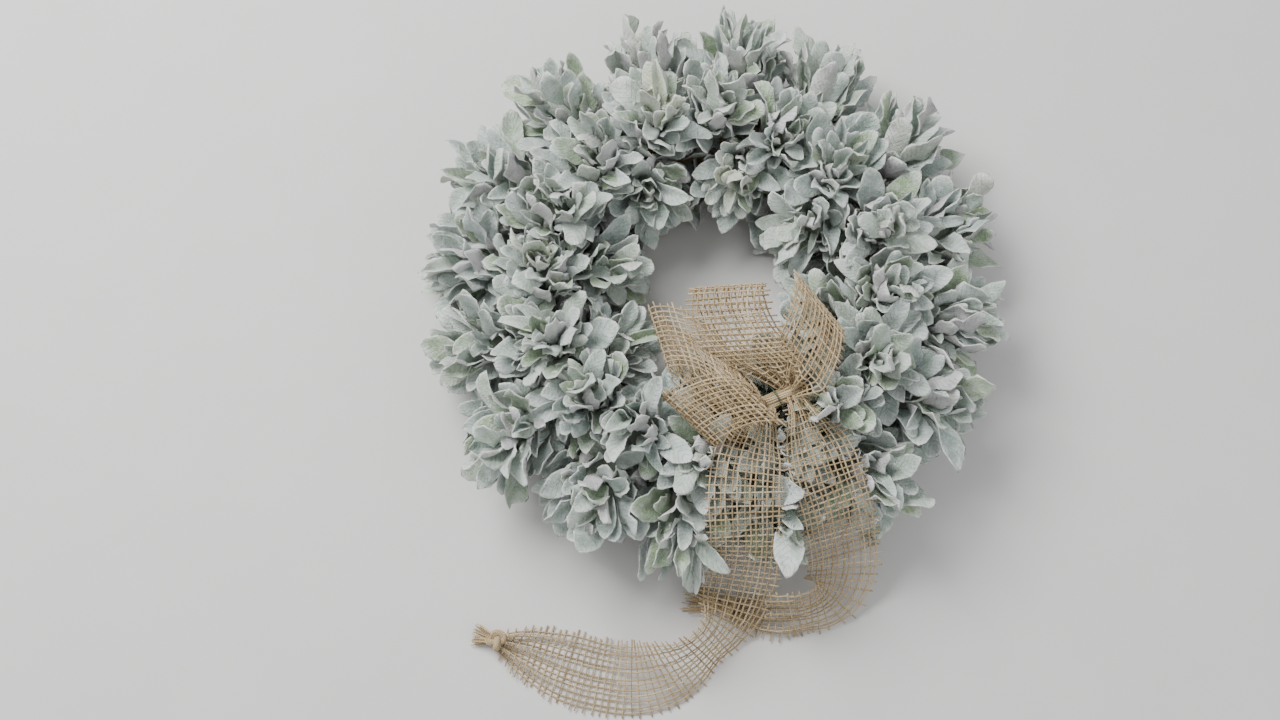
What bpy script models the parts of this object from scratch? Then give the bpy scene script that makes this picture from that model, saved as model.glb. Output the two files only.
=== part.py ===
"""A wreath of lamb's ear sprigs wired to a straw ring, with a jute mesh bow, lying on its back.

Metres, +Z up. The pieces are placed round the ring's own centre, and the whole part is
then moved so that the middle of its footprint on the surface is the origin.
"""

import math
import random

import bmesh
import bpy
import numpy as np
from mathutils import Matrix
from mathutils.bvhtree import BVHTree

MM = 0.001
UP = np.array([0.0, 0.0, 1.0])

# Clearance between two pieces that touch.
GAP = 0.3 * MM

# Straw ring: a round roll with a flat foot where it lies.
RING_RADIUS = 130 * MM
TUBE_RADIUS = 25 * MM
TUBE_HEIGHT = 23 * MM
RING_STEPS = 36
PROFILE_SIDES = 12

# Binding wire: one turn for each group of sprigs, sunk in a notch under the foot.
TURNS = 16
PITCH = 2 * math.pi / TURNS
TURN_STEPS = 12
WIRE_RADIUS = 0.45 * MM
NOTCH_WIDTH = 2.4 * MM
NOTCH_HEIGHT = 1.6 * MM
CHORD_ROOM = 0.75 * MM
STEM_LAYER = 3.6 * MM
WIRE_SIDES = 3

# Sprigs. Row: where its stems lie on the roll, its share of the turns, its heads and its leaves.
# place: angle up from the outer side of the roll; lean: how far a head tips along the ring.
ROWS = {
    "outer": dict(every=1, place=34, sense=1, lean=26, rise=4, stem=43 * MM, core=1.0, leaf=1.04, pairs=5),
    "crown": dict(every=1, place=94, sense=-1, lean=24, rise=-2, stem=36 * MM, core=0.88, leaf=0.96, pairs=5),
    "inner": dict(every=2, place=146, sense=1, lean=10, rise=-8, stem=28 * MM, core=0.8, leaf=0.9, pairs=3),
}
STEM_RADIUS = 1.5 * MM
STEM_LAID = 24 * MM
STEM_BEND = 10 * MM
STEM_SIDES = 5

# The dense heart of a sprig's head, which its leaves stand out of: place along the head, radius.
HEART = [(0.0, 7 * MM), (0.36, 22 * MM), (0.76, 18 * MM), (1.0, 6 * MM)]
ROOT_DEPTH = 2.5 * MM

# The bud at the end of a stem: young leaves still folded round each other.
BUD_LENGTH = 12 * MM
BUD_RADIUS = 3.6 * MM
BUD_TIP = 0.7 * MM

# Leaf pairs from the lowest to the bud: place along the stem, length, angle from the stem, curl.
PAIRS = [
    dict(along=0.18, length=48 * MM, angle=76, curl=10),
    dict(along=0.38, length=46 * MM, angle=60, curl=14),
    dict(along=0.58, length=42 * MM, angle=46, curl=16),
    dict(along=0.80, length=35 * MM, angle=32, curl=14),
    dict(along=0.96, length=22 * MM, angle=20, curl=4),
]
# Leaves lean the way that all leaves lie there, outward over the roll and inward at the hole:
# places up from the outer side of the roll, the headings there, and how strongly a leaf follows.
COMB_PLACES = (0, 40, 90, 125, 165, 200)
COMB_HEADINGS = (2, 26, 58, 112, 170, 198)
COMB_PULL = (0.15, 0.65)
LEAF_WIDTH = 0.42
LEAF_KEEL = 1.7 * MM
LEAF_STATIONS = (0.0, 0.34, 0.74, 1.0)
SMALL_STATIONS = (0.0, 0.5, 1.0)
SMALL_LEAF = 24 * MM
PETIOLE_WIDTH = 3 * MM
BLADE_FROM = 0.1
LEAF_ROOM = 0.45 * MM
LEAF_TRIES = 90
STEM_TRIES = 40
STEM_ROOM = 0.15 * MM
LOWEST_LEAF = 1.2 * MM
SEED = 41

# Jute ribbon and the waist of its bow, from the ring's centre.
RIBBON_WIDTH = 50 * MM
RIBBON_THICK = 1.2 * MM
WAIST = np.array([44, -95, 92]) * MM
WAIST_RADIUS = 7.5 * MM
WAIST_LENGTH = 26 * MM
GATHERED_AT = 12 * MM
WAIST_TURN = 30
GATHERED = 0.2
LOOP_STEPS = 13
TAIL_STEPS = 2
TAIL_LOWEST = 0.4 * MM
# Loops: end of the waist, middle of the far fold, direction and tilt of that fold, and how far the
# loop bellies up, sways left and leans back on its way there.
LOOPS = [
    dict(end=-1, fold=(-41, -53, 101), line=-74, tip=10, belly=16, sway=-6, back=0),
    dict(end=1, fold=(10, -15, 108), line=2, tip=6, belly=20, sway=14, back=0),
    dict(end=1, fold=(75, -27, 110), line=-51, tip=-6, belly=26, sway=-5, back=0),
    dict(end=-1, fold=(-20, -112, 97), line=-44, tip=-4, belly=33, sway=-4, back=12),
]
RETURN_BELLY = 0.4
RETURN_SHIFT = 0.5
# Tails, from the waist down over the leaves and along the surface. Each row is x, y, the height
# of the lower edge, the bank of the width off level, and the width.
TAIL_LEFT = [
    (30, -114, 97, 0, 28),
    (23, -135, 98, 0, 46),
    (20, -157, 96, 0, 50),
    (20, -176, 88, 0, 50),
    (21, -195, 70, 0, 50),
    (20, -212, 46, -2, 50),
    (16, -230, 22, -14, 50),
    (9, -248, 6, -44, 50),
    (-5, -265, 1, -60, 50),
    (-26, -280, 1, -40, 50),
    (-54, -287, 1, -12, 50),
    (-84, -284, 1, 0, 50),
    (-112, -276, 1, 0, 48),
    (-138, -266, 1.6, 0, 34),
    (-156, -260, 5, 0, 14),
]
TAIL_RIGHT = [
    (61, -104, 97, 0, 18),
    (67, -120, 97, 0, 36),
    (73, -136, 97, 0, 48),
    (78, -152, 96, 0, 50),
    (85, -170, 84, 0, 50),
    (91, -189, 62, 0, 50),
    (95, -205, 36, -6, 50),
    (93, -220, 14, -24, 50),
    (85, -232, 3, -48, 50),
    (69, -240, 1, -62, 50),
    (51, -242, 1, -56, 44),
    (32, -240, 2, -30, 26),
    (15, -235, 5, 0, 13),
]
KNOT_RADIUS = 8.5 * MM
FRAY_RADIUS = 5 * MM
FRAY_LEFT = 9 * MM
FRAY_RIGHT = 24 * MM

# Wire that ties the bow: over the waist, both ends pushed into the straw.
TIE_RADIUS = 0.6 * MM
TIE_DEPTH = 9 * MM
TIE_PLACE = 112
TIE_SPREAD = 5

COLOURS = {
    "leaf": (0.56, 0.64, 0.57),
    "straw": (0.62, 0.50, 0.27),
    "jute": (0.55, 0.41, 0.24),
    "wire": (0.20, 0.24, 0.20),
}


def unit(vector):
    return vector / np.linalg.norm(vector)


def turned(vector, axis, angle):
    """The vector turned about a unit axis."""
    return (
        vector * math.cos(angle)
        + np.cross(axis, vector) * math.sin(angle)
        + axis * np.dot(axis, vector) * (1 - math.cos(angle))
    )


def smooth(value):
    """0 below 0, 1 above 1, and a smooth step between."""
    value = min(max(value, 0.0), 1.0)
    return value * value * (3 - 2 * value)


def roll_normal(theta, phi):
    """Outward direction of the roll: theta round the ring, phi up from its outer side."""
    outward = np.array([math.cos(theta), math.sin(theta), 0.0])
    return outward * math.cos(phi) + UP * math.sin(phi)


def roll_point(theta, phi, distance):
    """A point at that distance from the middle of the roll."""
    middle = RING_RADIUS * np.array([math.cos(theta), math.sin(theta), 0.0])
    return middle + UP * TUBE_HEIGHT + roll_normal(theta, phi) * distance


def clear_scene():
    for obj in list(bpy.data.objects):
        bpy.data.objects.remove(obj)


def material(name, roughness=0.85, metallic=0.0):
    made = bpy.data.materials.new(name)
    made.use_nodes = True
    shader = made.node_tree.nodes["Principled BSDF"]
    shader.inputs["Base Color"].default_value = (*COLOURS[name], 1.0)
    shader.inputs["Roughness"].default_value = roughness
    shader.inputs["Metallic"].default_value = metallic
    return made


def solid(name, points, faces, finish):
    """A mesh object of these points and faces, with its faces turned outwards."""
    mesh = bpy.data.meshes.new(name)
    mesh.from_pydata([tuple(p) for p in points], [], faces)
    work = bmesh.new()
    work.from_mesh(mesh)
    bmesh.ops.delete(work, geom=[v for v in work.verts if not v.link_faces], context="VERTS")
    bmesh.ops.recalc_face_normals(work, faces=work.faces)
    work.to_mesh(mesh)
    work.free()
    mesh.materials.append(finish)
    obj = bpy.data.objects.new(name, mesh)
    bpy.context.scene.collection.objects.link(obj)
    return obj


def keep_largest_body(mesh):
    """Drops the scraps and the sealed hollows that a Boolean leaves beside the body."""
    work = bmesh.new()
    work.from_mesh(mesh)
    left, bodies = set(work.verts), []
    while left:
        body, edge = set(), [left.pop()]
        while edge:
            vertex = edge.pop()
            body.add(vertex)
            fresh = [e.other_vert(vertex) for e in vertex.link_edges]
            fresh = [v for v in fresh if v in left]
            left.difference_update(fresh)
            edge += fresh
        bodies.append(body)
    largest = max(bodies, key=len)
    scraps = [v for body in bodies if body is not largest for v in body]
    bmesh.ops.delete(work, geom=scraps, context="VERTS")
    work.to_mesh(mesh)
    work.free()


def combine(obj, others, operation, solver="EXACT"):
    """Joins the others to obj, or cuts them from it, with one Boolean, and removes them."""
    group = bpy.data.collections.new(obj.name + "_tools")
    bpy.context.scene.collection.children.link(group)
    for other in others:
        bpy.context.scene.collection.objects.unlink(other)
        group.objects.link(other)
    boolean = obj.modifiers.new("combine", "BOOLEAN")
    boolean.operation = operation
    boolean.operand_type = "COLLECTION"
    boolean.collection = group
    boolean.solver = solver
    graph = bpy.context.evaluated_depsgraph_get()
    made = bpy.data.meshes.new_from_object(obj.evaluated_get(graph))
    obj.modifiers.clear()
    keep_largest_body(made)
    obj.data = made
    for other in others:
        bpy.data.objects.remove(other)
    bpy.data.collections.remove(group)
    return obj


def tree_of(points, faces):
    return BVHTree.FromPolygons([tuple(p) for p in points], faces)


def mesh_of(obj):
    points = np.array([tuple(v.co) for v in obj.data.vertices])
    return points, [tuple(p.vertices) for p in obj.data.polygons]


def loft(rings, closed=False):
    """Faces between rings of equally many points, with end caps unless the loft is closed."""
    count, sides = len(rings), len(rings[0])
    points = [p for ring in rings for p in ring]
    faces = []
    for i in range(count if closed else count - 1):
        here, there = i * sides, (i + 1) % count * sides
        for j in range(sides):
            k = (j + 1) % sides
            faces.append((here + j, here + k, there + k, there + j))
    if not closed:
        faces.append(tuple(range(sides)))
        faces.append(tuple(range((count - 1) * sides, count * sides)))
    return points, faces


def tangents(path, closed=False):
    """Unit directions along a path of points."""
    if closed:
        steps = np.roll(path, -1, axis=0) - np.roll(path, 1, axis=0)
    else:
        steps = np.gradient(path, axis=0)
    return steps / np.linalg.norm(steps, axis=1)[:, None]


def tube(path, normals, radii, sides, closed=False):
    """A tube of few sides round a path. Normals say which way one corner of each ring points."""
    rings = []
    for point, along, normal, radius in zip(path, tangents(path, closed), normals, radii):
        across = unit(np.cross(along, normal))
        out = np.cross(across, along)
        turns = [2 * math.pi * k / sides for k in range(sides)]
        rings.append([point + radius * (out * math.cos(a) + across * math.sin(a)) for a in turns])
    return loft(rings, closed)


def make_ring(finish):
    """The straw roll: a round section with a flat foot, turned about the ring's axis."""
    foot = math.asin(TUBE_HEIGHT / TUBE_RADIUS)
    sweep = (math.pi + 2 * foot) / PROFILE_SIDES
    work = bmesh.new()
    profile = [
        work.verts.new(roll_point(0.0, -foot + sweep * i, TUBE_RADIUS))
        for i in range(PROFILE_SIDES + 1)
    ]
    edges = [work.edges.new((a, b)) for a, b in zip(profile, profile[1:] + profile[:1])]
    bmesh.ops.spin(
        work, geom=profile + edges, axis=(0, 0, 1), cent=(0, 0, 0),
        steps=RING_STEPS, angle=2 * math.pi, use_merge=True,
    )
    bmesh.ops.remove_doubles(work, verts=work.verts, dist=0.001 * MM)
    bmesh.ops.recalc_face_normals(work, faces=work.faces)
    mesh = bpy.data.meshes.new("straw_ring")
    work.to_mesh(mesh)
    work.free()
    mesh.materials.append(finish)
    ring = bpy.data.objects.new("straw_ring", mesh)
    bpy.context.scene.collection.objects.link(ring)
    return ring


def foot_corner():
    """Angle of the roll at which the wire leaves the roll's side and runs flat under its foot."""
    return math.asin((TUBE_HEIGHT - GAP - WIRE_RADIUS) / wire_distance(-math.pi / 3))


def wire_distance(phi):
    """Distance of the wire from the middle of the roll: over the stems, but close to the foot."""
    degrees = math.degrees(phi)
    over = smooth((degrees + 38) / 30) * smooth((218 - degrees) / 30)
    return TUBE_RADIUS + GAP + WIRE_RADIUS + CHORD_ROOM + STEM_LAYER * over


def wire_theta(turn, phi):
    """Angle round the ring of that turn of the wire: it only moves on above the foot."""
    return turn * PITCH + PITCH * smooth((math.degrees(phi) + 30) / 240)


def make_wire(finish):
    """One endless winding round the roll, each turn flat under the foot."""
    corner = foot_corner()
    path, normals = [], []
    for turn in range(TURNS):
        for step in range(TURN_STEPS + 1):
            phi = -corner + (math.pi + 2 * corner) * step / TURN_STEPS
            theta = wire_theta(turn, phi)
            path.append(roll_point(theta, phi, wire_distance(phi)))
            normals.append(roll_normal(theta, phi))
    radii = [WIRE_RADIUS] * len(path)
    points, faces = tube(np.array(path), normals, radii, WIRE_SIDES, closed=True)
    return solid("binding_wire", points, faces, finish)


def notch(turn, finish):
    """Cutter for the notch that one turn of the wire has bitten under the foot."""
    theta = turn * PITCH
    out = roll_normal(theta, 0.0)
    side = np.cross(UP, out)
    middle = RING_RADIUS * out
    reach = TUBE_RADIUS * 0.6
    corners = [(-1, -1), (1, -1), (1, 1), (-1, 1)]
    rings = [
        [middle + out * reach * a + side * NOTCH_WIDTH / 2 * b + UP * height for a, b in corners]
        for height in (-NOTCH_HEIGHT, NOTCH_HEIGHT)
    ]
    return solid(f"notch_{turn}", *loft(rings), finish)


def waist_axis():
    turn = math.radians(WAIST_TURN)
    return np.array([math.cos(turn), math.sin(turn), 0.0])


def gathered_at(end):
    """Where the strips of that end of the waist are gathered."""
    return WAIST + waist_axis() * end * GATHERED_AT


def straw_below_waist(side):
    """Where one end of the bow's wire enters the roll, and the direction it is pushed."""
    theta = math.atan2(WAIST[1], WAIST[0]) + side * math.radians(TIE_SPREAD)
    phi = math.radians(TIE_PLACE)
    return roll_point(theta, phi, TUBE_RADIUS), -roll_normal(theta, phi)


def tie_path(depth):
    """The bow's wire: up from the straw, over the waist and down into the straw again."""
    axis = waist_axis()
    side = np.cross(UP, axis)
    bend = WAIST_RADIUS + GAP + TIE_RADIUS + CHORD_ROOM
    over = [
        WAIST + bend * (side * math.cos(a) + UP * math.sin(a))
        for a in np.linspace(-math.radians(25), math.radians(205), 8)
    ]
    first, inward = straw_below_waist(1)
    last, inward_last = straw_below_waist(-1)
    ends = [first + inward * depth, first], [last, last + inward_last * depth]
    path = np.array(ends[0] + over + ends[1])
    return path, [axis] * len(path)


def tie_tube(name, radius, depth, finish):
    path, normals = tie_path(depth)
    points, faces = tube(path, normals, [radius] * len(path), 4)
    return solid(name, points, faces, finish)


def spline(stations, steps):
    """Catmull-Rom curve through rows of numbers, evenly stepped between them."""
    rows = np.array(stations, float)
    rows = np.vstack([2 * rows[0] - rows[1], rows, 2 * rows[-1] - rows[-2]])
    made = []
    for i in range(1, len(rows) - 2):
        p0, p1, p2, p3 = rows[i - 1 : i + 3]
        for t in np.arange(steps) / steps:
            made.append(
                0.5 * (2 * p1 + (p2 - p0) * t + (2 * p0 - 5 * p1 + 4 * p2 - p3) * t * t
                       + (3 * p1 - p0 - 3 * p2 + p3) * t ** 3)
            )
    made.append(rows[-2])
    return np.array(made)


def loop_strip(end, fold, line, tip, belly, sway, back):
    """Middle line, width directions and widths of one loop: over to its far fold, and back below."""
    start, line, tip = gathered_at(end), math.radians(line), math.radians(tip)
    out = np.array(fold) * MM - start
    across = roll_normal(line, tip)
    bulge = unit(np.cross(out, across))
    bulge = bulge * np.sign(bulge[2])
    turn = np.linspace(0.0, 2 * math.pi, LOOP_STEPS + 1)[:, None]
    over = turn < math.pi
    swell = np.sin(turn) * np.sqrt(np.abs(np.sin(turn / 2))) * np.where(over, 1, RETURN_BELLY)
    reach = (1 - np.cos(turn)) / 2
    side = unit(np.cross(UP, out)) * sway * MM
    early, late = 4 * reach * (1 - reach), 6.75 * reach ** 2 * (1 - reach)
    aside = side * late - unit(out) * back * MM * early
    path = start + out * reach + bulge * belly * MM * swell + aside * np.where(over, 1, RETURN_SHIFT)
    open_share = np.clip(np.sin(turn[:, 0] / 2) * 1.8, 0, 1) ** 2
    widths = RIBBON_WIDTH * (GATHERED + (1 - GATHERED) * open_share)
    return path, np.repeat([across], len(path), axis=0), widths


def tail_strip(end, stations):
    """Middle line, width directions and widths of one tail. Bank tips its width off level."""
    start = (*gathered_at(end) / MM, 0, RIBBON_WIDTH * GATHERED / MM)
    rows = spline([start, *stations], TAIL_STEPS)
    path, bank, widths = rows[:, :3] * MM, np.radians(rows[:, 3]), rows[:, 4] * MM
    lowest = np.maximum(path[:, 2], TAIL_LOWEST)
    path[:, 2] = lowest + np.abs(np.sin(bank)) * widths / 2 + RIBBON_THICK / 2
    across = []
    for along, tip in zip(tangents(path), bank):
        level = unit(np.cross(UP, along))
        across.append(turned(level, along, tip))
    return path, np.array(across), widths


def strip_solid(name, strip, finish):
    """A ribbon strip as a thin closed band. Both its faces are split into triangles alike."""
    points, faces = [], []
    for point, along, across, width in zip(strip[0], tangents(strip[0]), strip[1], strip[2]):
        face = unit(np.cross(along, across)) * RIBBON_THICK / 2
        left, right = point - across * width / 2, point + across * width / 2
        points += [left - face, right - face, right + face, left + face]
    last = len(points) - 4
    for here in range(0, last, 4):
        for a, b in ((0, 1), (3, 2), (0, 3), (1, 2)):
            faces += [(here + a, here + b, here + b + 4), (here + a, here + b + 4, here + a + 4)]
    faces += [(0, 1, 2, 3), (last, last + 1, last + 2, last + 3)]
    return solid(name, points, faces, finish)


def ball(name, centre, radius, finish):
    work = bmesh.new()
    bmesh.ops.create_icosphere(work, subdivisions=1, radius=radius)
    mesh = bpy.data.meshes.new(name)
    work.to_mesh(mesh)
    work.free()
    points = [np.array(v.co) + centre for v in mesh.vertices]
    faces = [tuple(p.vertices) for p in mesh.polygons]
    return solid(name, points, faces, finish)


def tail_end(name, strip, fray, finish):
    """The knot at the end of a tail, and the frayed ends that stand out of it."""
    end, along = strip[0][-1], tangents(strip[0])[-1]
    level = unit(along * (1, 1, 0))
    knot = end + level * KNOT_RADIUS * 0.6
    knot[2] = KNOT_RADIUS + GAP
    path = np.array([knot, knot + level * KNOT_RADIUS, knot + level * (KNOT_RADIUS + fray)])
    path[1:, 2] = FRAY_RADIUS + 2 * GAP
    radii = [FRAY_RADIUS * 0.6, FRAY_RADIUS * 0.6, FRAY_RADIUS]
    brush = solid(name + "_fray", *tube(path, [UP] * 3, radii, 6), finish)
    return [ball(name + "_knot", knot, KNOT_RADIUS, finish), brush]


def make_ribbon(finish):
    """The whole ribbon: waist, four loops, two tails and their knots, fused as one piece."""
    axis = waist_axis()
    ends = np.array([WAIST - axis * WAIST_LENGTH / 2, WAIST + axis * WAIST_LENGTH / 2])
    waist = solid("jute_ribbon", *tube(ends, [UP] * 2, [WAIST_RADIUS] * 2, 8), finish)
    strips = [strip_solid(f"loop_{i}", loop_strip(**loop), finish) for i, loop in enumerate(LOOPS)]
    left, right = tail_strip(-1, TAIL_LEFT), tail_strip(1, TAIL_RIGHT)
    strips += [strip_solid("tail_left", left, finish), strip_solid("tail_right", right, finish)]
    strips += tail_end("left", left, FRAY_LEFT, finish)
    strips += tail_end("right", right, FRAY_RIGHT, finish)
    return combine(waist, strips, "UNION", "MANIFOLD")


def seated(laid, outward, straw):
    """The laid stretch of a stem, moved in until it lies a gap's width off the straw."""
    samples = [a + (b - a) * share for a, b in zip(laid, laid[1:]) for share in np.linspace(0, 1, 5)]
    nearest = min(straw.find_nearest(tuple(sample))[3] for sample in samples)
    return [point - outward * (nearest - STEM_RADIUS - GAP) for point in laid]


def stem_tries(straw, row, turn):
    """Ways one sprig could lie: under the wire along the roll, then out to its heart and bud."""
    facts = ROWS[row]
    draw = random.Random(f"{SEED} {row} {turn}")
    for attempt in range(STEM_TRIES):
        loose = attempt / STEM_TRIES
        phi = math.radians(facts["place"] + draw.uniform(-5, 5))
        held = wire_theta(turn, phi)
        distance = TUBE_RADIUS + STEM_LAYER
        circle = RING_RADIUS + distance * math.cos(phi)
        half = facts["sense"] * STEM_LAID / 2 / circle
        laid = [roll_point(held + half * share, phi, distance) for share in (-1, 0, 1)]
        laid = seated(laid, roll_normal(held, phi), straw)
        theta = held + half
        forward = np.array([-math.sin(theta), math.cos(theta), 0.0]) * facts["sense"]
        lean = math.radians(facts["lean"] + draw.uniform(-1, 1) * (8 + 30 * loose))
        rise = phi + math.radians(facts["rise"] + draw.uniform(-1, 1) * (8 + 24 * loose))
        head = unit(roll_normal(theta, rise) * math.cos(lean) + forward * math.sin(lean))
        knee = laid[-1] + forward * STEM_BEND * 0.6
        bent = knee + unit(forward + head) * STEM_BEND * 0.6
        core = facts["core"] * (1 - 0.5 * loose)
        free = facts["stem"] * draw.uniform(0.88, 1.12) * (1 - 0.4 * loose)
        heart = [bent + head * free * share for share, _ in HEART]
        bud = [heart[-1] + head * BUD_LENGTH * share for share in (0.45, 1.0)]
        yield dict(
            path=np.array(laid + heart + bud),
            radii=[STEM_RADIUS] * 3 + [radius * core for _, radius in HEART] + [BUD_RADIUS, BUD_TIP],
            head=head,
            free=free,
            core=core,
            spin=draw.uniform(0, 360),
        )


def stem_parts(stem, room=0.0):
    start = unit(np.cross(tangents(stem["path"])[0], UP))
    radii = [radius + room for radius in stem["radii"]]
    return tube(stem["path"], [start] * len(radii), radii, STEM_SIDES)


def place_stem(crowd, straw, row, turn):
    """The first way to lie that clears every piece already there."""
    for stem in stem_tries(straw, row, turn):
        points, faces = stem_parts(stem, STEM_ROOM)
        if crowd.free(np.array(points), faces, (row, turn), False):
            break
    else:
        print("no room for", row, turn)
    crowd.add((row, turn), *stem_parts(stem))
    return stem


def leaf_line(leaf, shares):
    """Points and frames down a leaf that bends and twists evenly from its root."""
    spin = np.array([leaf["twist"], leaf["curl"], leaf["bend"]])
    rate = np.linalg.norm(spin) + 1e-9
    axis = spin / rate
    start = np.column_stack([leaf["along"], np.cross(leaf["face"], leaf["along"]), leaf["face"]])
    shares = np.array(shares)[:, None]
    ahead = np.array([1.0, 0.0, 0.0])
    turn = rate * shares
    points = (
        ahead * np.sin(turn) + np.cross(axis, ahead) * (1 - np.cos(turn))
        + axis * axis[0] * (turn - np.sin(turn))
    ) / rate
    frames = [
        basis * np.cos(turn) + np.cross(axis, basis) * np.sin(turn)
        + axis * np.dot(axis, basis) * (1 - np.cos(turn))
        for basis in np.eye(3)
    ]
    world = [frame @ start.T for frame in frames]
    return leaf["root"] + leaf["length"] * (points @ start.T), world[1], world[2]


def half_width(leaf, share):
    """Half the leaf's width there: narrow at the root, widest past the middle, blunt at the tip."""
    blunt = leaf["blunt"]
    peak = 0.85 / (0.85 + blunt)
    most = peak ** 0.85 * (1 - peak) ** blunt
    blade = share ** 0.85 * (1 - share) ** blunt / most
    return leaf["width"] / 2 * blade + PETIOLE_WIDTH / 2 * (1 - share)


def leaf_parts(leaf, stations, room=0.0):
    """A leaf as a closed blade: two edges, with the rib as a keel under the middle.

    With room it is larger all round, which keeps its neighbours off.
    """
    points, faces = [], []
    for share, middle, side, face in zip(stations[:-1], *leaf_line(leaf, stations)):
        wide = half_width(leaf, share)
        flat = middle + face * math.sin(leaf["cup"]) * wide
        edge = side * (wide * math.cos(leaf["cup"]) + 2 * room)
        keel = LEAF_KEEL * (1 - 0.3 * share) + room
        points += [flat - edge, flat + edge, flat - face * keel, flat + face * room]
    spans = [(0, 2), (1, 2), (0, 3), (1, 3)] if room else [(0, 2), (1, 2), (0, 1)]
    tip = len(points)
    points.append(leaf_line(leaf, stations[-1:])[0][0])
    for here in range(0, tip - 4, 4):
        for a, b in spans:
            faces += [(here + a, here + b, here + b + 4), (here + a, here + b + 4, here + a + 4)]
    faces += [(tip - 4 + a, tip - 4 + b, tip) for a, b in spans]
    faces.append((0, 2, 1, 3) if room else (0, 2, 1))
    return np.array(points), faces


def combed(root, along, face, draw):
    """The leaf's root and directions, leaning the way that all leaves lie at that place."""
    place = math.degrees(math.atan2(root[2] - TUBE_HEIGHT, math.hypot(*root[:2]) - RING_RADIUS))
    heading = np.interp(place if place > -90 else place + 360, COMB_PLACES, COMB_HEADINGS)
    way = roll_normal(math.atan2(root[1], root[0]), math.radians(heading))
    pull = draw.uniform(*COMB_PULL)
    along = unit(along * (1 - pull) + way * pull)
    face = face * (1 - pull) + UP * pull
    return dict(root=root, along=along, face=unit(face - along * np.dot(face, along)))


def leaf_tries(stem, row, turn, level, hand):
    """Ways the leaf could grow, one after another, further and further from the usual one."""
    pair, head = PAIRS[level], stem["head"]
    draw = random.Random(f"{SEED} {row} {turn} {level} {hand}")
    axis_point = stem["path"][3] + head * stem["free"] * pair["along"]
    heart = np.interp(pair["along"], *zip(*HEART)) * stem["core"] * math.cos(math.pi / STEM_SIDES)
    first = unit(np.cross(head, UP if abs(head[2]) < 0.9 else np.array([1.0, 0.0, 0.0])))
    usual = math.radians(stem["spin"] + 90 * level + 180 * hand)
    size = ROWS[row]["leaf"] * draw.uniform(0.86, 1.12)
    wide = LEAF_WIDTH * draw.uniform(0.86, 1.14)
    blunt = draw.uniform(0.6, 1.0)
    for attempt in range(LEAF_TRIES):
        loose = attempt / LEAF_TRIES
        azimuth = usual + math.radians(draw.uniform(-1, 1) * (24 + 60 * loose))
        angle = math.radians(pair["angle"] + draw.uniform(-1, 1) * (16 + 40 * loose))
        length = pair["length"] * size * (1 - 0.42 * loose * draw.random())
        out = turned(first, head, azimuth)
        root = axis_point + out * (heart - ROOT_DEPTH)
        along = head * math.cos(angle) + out * math.sin(angle)
        face = head * math.sin(angle) - out * math.cos(angle)
        yield dict(
            combed(root, along, face, draw),
            length=length,
            width=length * wide,
            blunt=blunt,
            curl=math.radians(pair["curl"] + draw.uniform(-1, 1) * (22 + 25 * loose)),
            bend=math.radians(draw.uniform(-14, 14)),
            twist=math.radians(draw.uniform(-12, 12)),
            cup=math.radians(draw.uniform(4, 26)),
        )


class Crowd:
    """Pieces already placed, which the next leaf has to keep clear of."""

    def __init__(self):
        self.lows, self.highs = np.empty((0, 3)), np.empty((0, 3))
        self.trees, self.owners = [], []

    def add(self, owner, points, faces):
        points = np.array(points)
        self.lows = np.vstack([self.lows, points.min(axis=0)])
        self.highs = np.vstack([self.highs, points.max(axis=0)])
        self.trees.append(tree_of(points, faces))
        self.owners.append(owner)

    def free(self, points, faces, owner, own_pieces):
        """Whether the shape touches none of the owner's own pieces, or none of all the others."""
        low, high = points.min(axis=0), points.max(axis=0)
        near = (self.lows <= high).all(axis=1) & (self.highs >= low).all(axis=1)
        asked = [i for i in np.flatnonzero(near) if (self.owners[i] == owner) == own_pieces]
        if not asked:
            return True
        mine = tree_of(points, faces)
        return not any(self.trees[i].overlap(mine) for i in asked)


def stations_of(level):
    return SMALL_STATIONS if PAIRS[level]["length"] < SMALL_LEAF else LEAF_STATIONS


def place_leaf(crowd, kin, stem, row, turn, level, hand):
    """The first way to grow that clears every other piece, and its sister leaves past their roots."""
    owner, stations = (row, turn), stations_of(level)
    for leaf in leaf_tries(stem, row, turn, level, hand):
        whole, faces = leaf_parts(leaf, stations, LEAF_ROOM)
        if whole[:, 2].min() < LOWEST_LEAF or not crowd.free(whole, faces, owner, False):
            continue
        beyond = (BLADE_FROM, *stations[1:])
        blade, blade_faces = leaf_parts(leaf, beyond, LEAF_ROOM)
        if not kin.free(blade, blade_faces, owner, True):
            continue
        crowd.add(owner, *leaf_parts(leaf, stations))
        kin.add(owner, *leaf_parts(leaf, beyond))
        return leaf
    return None


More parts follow.
